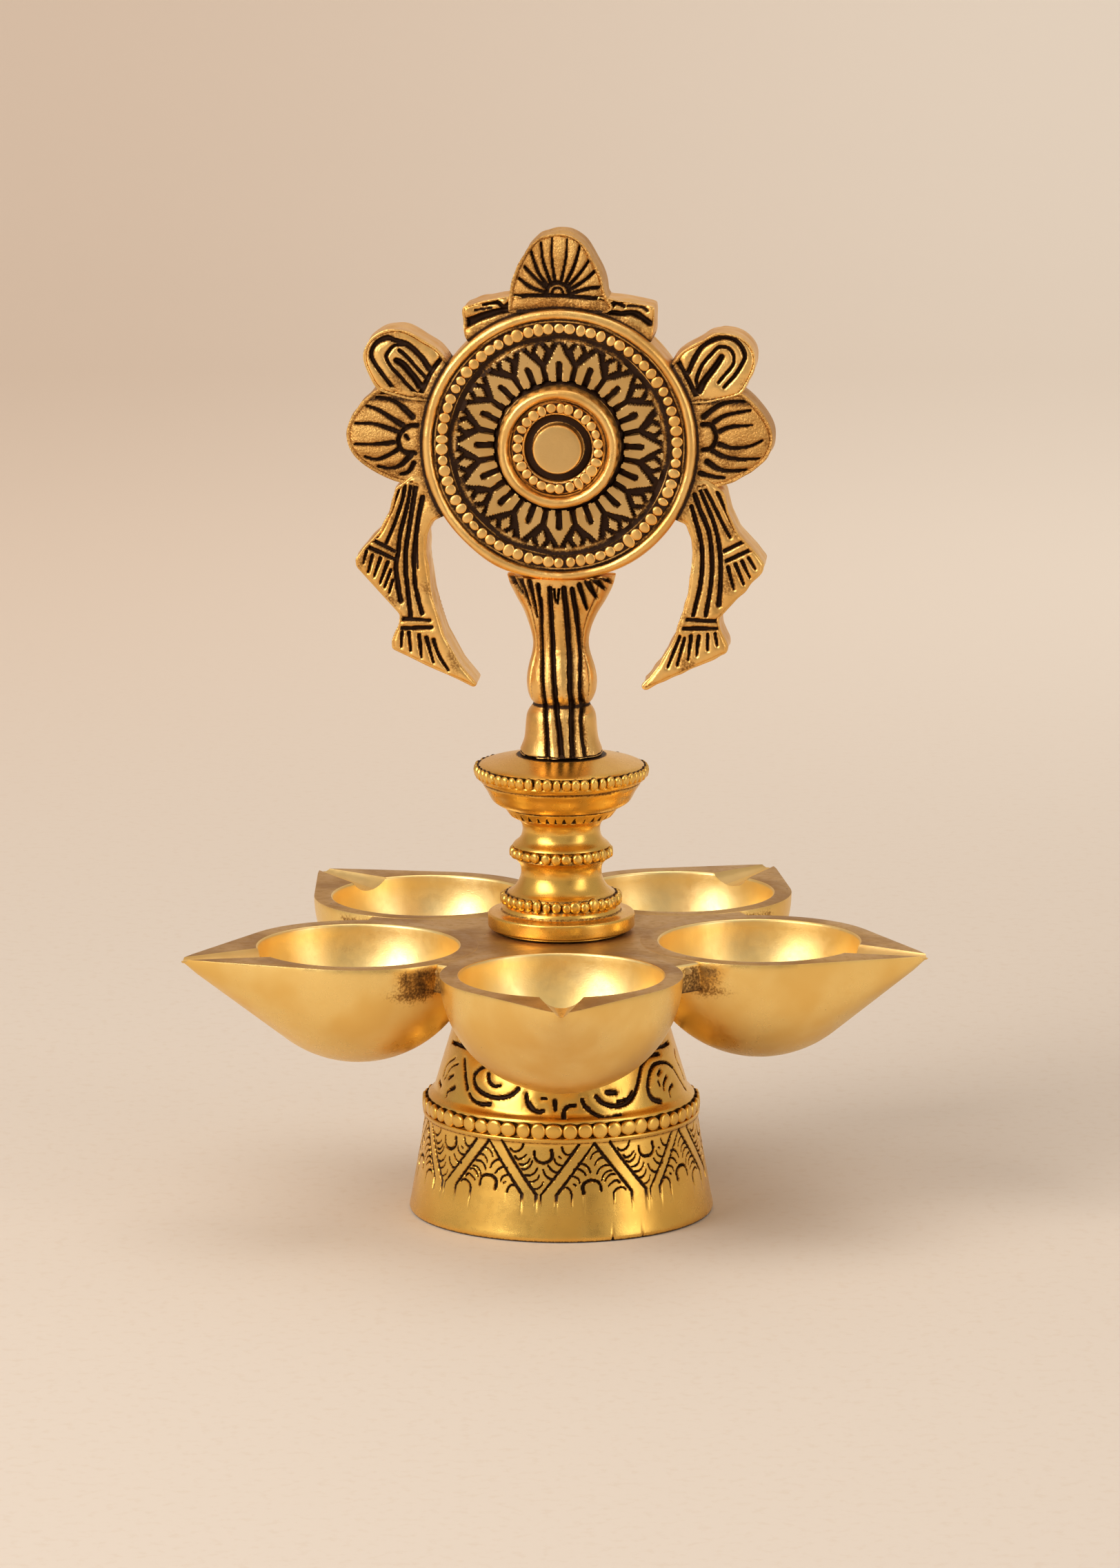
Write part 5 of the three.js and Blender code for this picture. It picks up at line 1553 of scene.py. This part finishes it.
PILLAR_STROKES = (
    Stroke(((-3.8, -31.1), (-3.7, -39.5), (-3.4, -49.3), (-2.9, -53.5), (-2.2, -62.6)), 0.3, 0.42, 0.9),
    Stroke(((-1.9, -28.8), (-1.5, -39.5), (-0.8, -50.7), (0.3, -59.1), (0.7, -62.9)), 0.36, 0.5, 0.9),
    Stroke(((1.0, -28.8), (2.0, -40.8), (2.6, -52.0), (3.0, -62.6)), 0.42, 0.5, 0.9),
    Stroke(((2.7, -28.9), (4.1, -39.4), (4.5, -50.6), (4.7, -57.0), (5.4, -62.2)), 0.36, 0.4, 0.9),
    Stroke(((-10.9, -27.6), (-9.2, -28.6)), 0.45, 0.2),
    Stroke(((-9.9, -26.9), (-7.8, -30.4)), 0.5, 0.2),
    Stroke(((-8.1, -27.2), (-6.1, -32.8)), 0.5, 0.18),
    Stroke(((-6.1, -27.6), (-4.6, -34.9)), 0.42, 0.18),
    Stroke(((-4.3, -28.2), (-3.9, -33.5)), 0.36, 0.18),
    Stroke(((-1.0, -29.0), (-0.7, -31.6)), 0.2, 0.14, 0.4),
    Stroke(((0.0, -29.0), (-0.3, -32.0)), 0.2, 0.14, 0.4),
    Stroke(((4.2, -28.1), (5.5, -33.3)), 0.42, 0.18),
    Stroke(((5.8, -27.4), (7.4, -30.9)), 0.5, 0.2),
    Stroke(((7.3, -26.9), (9.1, -29.3)), 0.5, 0.2),
    Stroke(((8.6, -26.4), (10.4, -28.2)), 0.45, 0.2),
)


@dataclass(frozen=True)
class Lobe:
    """A cast lobe beside the wheel.

    outline: in the wheel's plane, from the wheel's centre. strokes: cuts of its front, which the back
    repeats. half: half of its thickness. bevel: width of its bevelled edges. swell: how far its face stands
    proud in gentle swells. fall, width: how far its face falls away to the outline, and over what width.
    meets: True if it is darker along the valley to the lobe above or below. shell: True if it is stippled.
    """

    name: str
    outline: Path
    strokes: Sequence[Stroke]
    bevel: float
    swell: float
    fall: float
    width: float
    half: float = 5.6
    meets: bool = False
    shell: bool = False


LOBES = (
    Lobe("finial", FINIAL_OUTLINE, FINIAL_STROKES, 1.5, 0.1, 1.5, 5.0, shell=True),
    Lobe("shoulder_left", SHOULDER_LEFT, SHOULDER_LEFT_STROKES, 1.2, 0.14, 0.6, 1.8, half=5.1),
    Lobe("shoulder_right", SHOULDER_RIGHT, SHOULDER_RIGHT_STROKES, 1.2, 0.2, 0.6, 1.8, half=5.1),
    Lobe("ear_left", EAR_OUTLINE, EAR_LEFT_STROKES, 1.7, 0.03, 1.1, 3.0, meets=True),
    Lobe("ear_right", mirrored(EAR_OUTLINE), EAR_RIGHT_STROKES, 1.4, 0.03, 1.1, 3.0, meets=True),
    Lobe("fan_left", FAN_OUTLINE, FAN_LEFT_STROKES, 1.3, 0.07, 1.5, 5.0, meets=True, shell=True),
    Lobe("fan_right", mirrored(FAN_OUTLINE), FAN_RIGHT_STROKES, 1.3, 0.07, 1.5, 5.0, meets=True, shell=True),
    Lobe("ribbon_left", RIBBON_OUTLINE, RIBBON_LEFT_STROKES, 1.1, 0.04, 0.6, 1.6),
    Lobe("ribbon_right", mirrored(RIBBON_OUTLINE), RIBBON_RIGHT_STROKES, 1.1, 0.04, 0.6, 1.6),
)


@dataclass
class Emblem:
    """The emblem: pillar, wheel, shell finial, shoulders, ears, fans and hanging ribbons.

    turn: how far it stands turned, in degrees. top_depth, fan_radius: half depth and half width of the
    pillar's top. valley: level above the wheel's centre where the ears meet the fans. drawn_fully: points
    from which on an outline is used as drawn, without smoothing.
    """

    turn: float = -4.5
    wheel_height: float = 63.2
    pillar_height: float = 36.4
    pillar_steps: int = 420
    top_depth: float = 7.0
    fan_radius: float = 10.9
    valley: float = 9.0
    drawn_fully: int = 16
    wheel: Wheel = field(default_factory=Wheel)

    def pillar(self) -> bpy.types.Object:
        """Turn the pillar, flatten it towards the wheel and cut its flutes."""
        outer = rounded(
            [
                (3.3, 0.0), (8.2, 0.0), (8.4, 0.5, 0.3), (7.5, 2.8, 1.5), (7.1, 5.2, 1.5), (6.75, 8.1, 1.0),
                (6.2, 9.2, 0.5), (5.7, 9.8, 0.4), (5.5, 10.4, 0.3), (6.2, 11.1, 0.5), (6.9, 12.6, 1.0),
                (7.15, 14.9, 1.5), (6.6, 17.8, 1.5), (5.85, 20.6, 1.5), (5.7, 22.9, 1.5), (6.3, 26.2, 1.5),
                (7.3, 29.1, 1.2), (9.2, 32.0, 1.2), (10.5, 34.4, 1.0), (10.9, 36.4), (0.0, 36.4),
            ]
        )
        profile = [(0.0, 8.7), (3.3, 8.7)] + outer
        fine = lambda r, z: 0.3 if r > 4.5 and z < 36.3 else 1.5
        piece = turned("emblem_pillar", dense(profile, fine), self.pillar_steps)
        co = read(piece.data)
        shrink = 1 - (1 - self.top_depth / self.fan_radius) * ease(co[:, 2], 10.5, self.pillar_height)
        co[:, 1] *= shrink
        write(piece.data, co)
        relief = Relief(piece)
        radius, theta = relief.polar()
        x, _, z = relief.co.T
        front = ease(np.abs(relief.normal[:, 1]), 0.12, 0.4) * (radius > 4)
        for stroke in PILLAR_STROKES:
            bold = stroke.bold(1.45, 1.35, depth=1.0, shoulder=0.25, halo=0.4)
            relief.stroke(x, z - self.wheel_height, bold, front)
        ribs = np.abs(((theta * 6 / math.pi) % 1) - 0.5)
        sides = ease(np.abs(np.sin(theta)), 0.75, 0.9) * ease(z, 10.8, 13) * (radius > 4)
        relief.sink(0.35 * ease(ribs, 0.34, 0.5) * sides)
        relief.darken(0.5 * ease(ribs, 0.4, 0.5) * sides)
        relief.darken(0.9 * bell(z - 10.2, 0.35) * (radius > 4.5))
        relief.groove(z - 0.35 - 0.2 * waves(theta * 4, z * 0, 51), 0.2, 0.25, 0.9, radius > 5)
        relief.rise += 0.16 * waves(theta * 3, z, 52, 7, 0.5) * (radius > 5) * ease(z, 1, 4)
        relief.apply()
        return piece

    def lobe(self, lobe: Lobe) -> bpy.types.Object:
        """Model a lobe carved on both faces, with a dark joint line and painted shade where it meets the
        wheel.
        """
        outline = lobe.outline
        closed = list(outline) + [outline[0]]
        soft = smooth_path(closed, 3)[:-1] if len(outline) < self.drawn_fully else np.array(outline)
        piece = cast_plate(f"emblem_{lobe.name}", [tuple(p) for p in soft], lobe.half, lobe.bevel)
        relief = Relief(piece)
        x, y, z = relief.co.T
        facing = ease(np.abs(relief.normal[:, 1]), 0.35, 0.8)
        edge, _ = path_distance(x, z, np.vstack([soft, soft[:1]]))
        rim = np.clip(1 - edge / lobe.width, 0, 1)
        relief.rise -= lobe.fall * (1 - np.sqrt(1 - rim**2)) * facing
        relief.darken(0.3 * ease(waves(x, z, 63, 7, 0.7), 0.0, 1.2) * facing)
        if lobe.meets:
            relief.darken(0.55 * bell(z - self.valley, 0.9) * facing)
        for stroke in lobe.strokes:
            bold = stroke.bold(1.3, 1.15, depth=stroke.depth * 1.3, shoulder=0.3, halo=0.4)
            relief.stroke(x, z, bold, facing)
        # a dark joint line at the wheel's rim, and painted shade beside it that fades out over 2.6 mm
        gap = np.hypot(x, z) - self.wheel.radius
        relief.darken(np.maximum(0.9 * ease(gap, 0.6, 0.15), 0.36 * ease(gap, 2.6, 0.4)) * (np.abs(y) < 6.5))
        relief.rise += lobe.swell * waves(x, z, 61, 7, 0.9) * facing * (1 - relief.patina)
        flank = ease(np.abs(relief.normal[:, 1]), 0.5, 0.1)
        relief.rise += 0.12 * waves(x + z, y, 62, 7, 0.8) * flank
        relief.apply()
        return piece

    def build(self, bench: Bench, paints: Paintbox) -> None:
        """Model the emblem and set it down."""
        base = bench.height("emblem")
        centre = base + self.wheel_height
        self.wheel.build(bench, paints, centre, self.turn)
        pillar = bench.place(self.pillar(), base, self.turn, Body.STEM, Slot.CAST, [paints.cast])
        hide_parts("emblem")
        for lobe in LOBES:
            paint = paints.shell if lobe.shell else paints.cast
            bench.place(self.lobe(lobe), centre, self.turn, Body.STEM, Slot.CAST, [paint], ALL_SMOOTH)


# Soft lights: name, place in metres, size, power in watts and tint
LIGHTS = (
    ("key", (-0.95, -0.75, 0.85), (0.8, 1.1), 15.5, (1.0, 0.95, 0.88)),
    ("fill", (1.1, -0.7, 0.5), (0.5, 1.2), 3.6, (1.0, 0.94, 0.86)),
    ("top", (0.1, 0.2, 1.5), (1.2, 1.2), 6.5, (1.0, 0.96, 0.9)),
)
# Dark cards: name and place
CARDS = (
    ("flag_left", (-0.5, -0.9, 0.1)),
    ("flag_right", (0.45, -1.0, 0.25)),
)


@dataclass
class Studio:
    """Pale floor and backdrop, soft lights and the camera at the photograph's angle.

    camera_back, camera_height, camera_aside: where the camera stands, from the lamp's axis, in metres.
    lens_share: focal length over the picture's height. lamp_middle: what the lights and cards face.
    """

    camera_back: float = 1.6
    camera_height: float = 0.4
    aim_height: float = 0.0875
    camera_aside: float = -0.00027
    lens_share: float = 11740 / 2274
    sensor: float = 24.0
    lamp_middle: float = 0.1
    floor_tint: tuple = (0.7, 0.622, 0.548)
    floor_grain: tuple = (0.6, 0.47, 0.36)
    wall_shaded_left: tuple = (0.84, 0.71, 0.6)
    wall_lit_right: tuple = (0.97, 0.9, 0.82)
    room_tint: tuple = (1.0, 0.88, 0.76)
    room_strength: float = 0.47
    card_size: tuple = (0.12, 0.7)
    card_tint: tuple = (0.05, 0.03, 0.02)
    card_shade: tuple = (0.035, 0.021, 0.014)

    def surface(self, name: str) -> bpy.types.Material:
        """The matt sweep: a pale floor that runs back into a wall, with painted light that makes the wall
        lighter on the right.
        """
        g = Graph(name)
        place = g.add("SeparateXYZ")
        g.link(g.coordinates(), place.inputs["Vector"])
        # painted light: the wall's colour runs from a darker tint on the left to a lighter one on the right
        wall = g.mix(g.remap(place.outputs["X"], -240, 260), self.wall_shaded_left, self.wall_lit_right)
        far = g.remap(place.outputs["Y"], 150, 900)
        grain = g.math("MULTIPLY", g.remap(g.noise(2.5, 5), 0.5, 0.72), 0.22)
        floor = g.mix(grain, self.floor_tint, self.floor_grain)
        g.link(g.mix(far, floor, wall), g.shader.inputs["Base Color"])
        g.shader.inputs["Roughness"].default_value = 0.7
        g.shader.inputs["Specular IOR Level"].default_value = 0.2
        return g.material

    def room(self) -> None:
        """Sweep the floor up into the backdrop."""
        side, floor_end, bend, top = 3.0, 1.2, 0.6, 2.6
        profile = [(-side, 0), (floor_end, 0)]
        for i in range(1, 9):
            angle = math.pi / 2 * i / 8
            profile.append((floor_end + bend * math.sin(angle), bend * (1 - math.cos(angle))))
        profile.append((floor_end + bend, top))
        sweep = new_mesh("sweep", [(-side, y, z) for y, z in profile], chain(profile))
        with editing():
            bpy.ops.mesh.select_all(action="SELECT")
            bpy.ops.mesh.extrude_region_move(TRANSFORM_OT_translate={"value": (2 * side, 0, 0)})
            bpy.ops.mesh.normals_make_consistent(inside=False)
        sweep.data.polygons.foreach_set("use_smooth", [True] * len(sweep.data.polygons))
        sweep.data.materials.append(self.surface("sweep"))

    def facing(self, spot: tuple, axis: str) -> Euler:
        """The rotation at a place that turns an axis to the lamp."""
        return (Vector((0, 0, self.lamp_middle)) - Vector(spot)).to_track_quat(axis, "Y").to_euler()

    def light(self, name: str, spot: tuple, size: tuple, power: float, tint: tuple) -> None:
        """A soft rectangular light that looks at the lamp."""
        data = bpy.data.lights.new(name, "AREA")
        data.shape = "RECTANGLE"
        data.size, data.size_y = size
        data.energy = power
        data.color = tint
        lamp = bpy.data.objects.new(name, data)
        lamp.location = spot
        lamp.rotation_euler = self.facing(spot, "-Z")
        bpy.context.scene.collection.objects.link(lamp)

    def card(self, name: str, spot: tuple) -> None:
        """A dark card outside the picture that the brass mirrors."""
        bpy.ops.mesh.primitive_plane_add(size=1.0, location=spot)
        card = bpy.context.object
        card.name = name
        card.rotation_euler = self.facing(spot, "Z")
        card.scale = (*self.card_size, 1)
        g = Graph(name)
        colour = g.mix(g.remap(g.noise(200, 2), 0.3, 0.7), self.card_tint, self.card_shade)
        g.link(colour, g.shader.inputs["Base Color"])
        g.shader.inputs["Roughness"].default_value = 0.9
        card.data.materials.append(g.material)
        card.visible_shadow = False

    def world(self) -> None:
        """A dim warm room all round."""
        world = bpy.data.worlds.new("room")
        world.use_nodes = True
        ground = world.node_tree.nodes["Background"]
        ground.inputs["Color"].default_value = (*self.room_tint, 1)
        ground.inputs["Strength"].default_value = self.room_strength
        bpy.context.scene.world = world

    def camera(self, bench: Bench) -> None:
        """Stand the camera where the photograph was taken from."""
        data = bpy.data.cameras.new("camera")
        data.sensor_fit = "VERTICAL"
        data.sensor_height = self.sensor
        data.lens = self.sensor * self.lens_share
        data.clip_end = 20
        eye = bpy.data.objects.new("camera", data)
        spot = Vector((bench.axis.x + self.camera_aside, bench.axis.y - self.camera_back, self.camera_height))
        aim = Vector((bench.axis.x + self.camera_aside, bench.axis.y, self.aim_height))
        eye.location = spot
        eye.rotation_euler = (aim - spot).to_track_quat("-Z", "Y").to_euler()
        bpy.context.scene.collection.objects.link(eye)
        bpy.context.scene.camera = eye

    def build(self, bench: Bench) -> None:
        """Set up the room, the lights and the camera."""
        self.room()
        self.world()
        for light in LIGHTS:
            self.light(*light)
        for card in CARDS:
            self.card(*card)
        self.camera(bench)
        bpy.context.scene.view_settings.view_transform = "Standard"


def main() -> None:
    """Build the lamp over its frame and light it."""
    bench = Bench()
    paints = Paintbox()
    Pedestal().build(bench, paints)
    CupTray().build(bench, paints)
    Stud("tie_stud_thread", "tie_stud", 4.0, 32.6, 1.25, Body.STUD).build(bench, paints)
    Baluster().build(bench, paints)
    Stud("crown_stud_thread", "crown_stud", 3.0, 18.7, 1.0, Body.STEM).build(bench, paints)
    Emblem().build(bench, paints)
    Studio().build(bench)


if __name__ == "__main__":
    main()
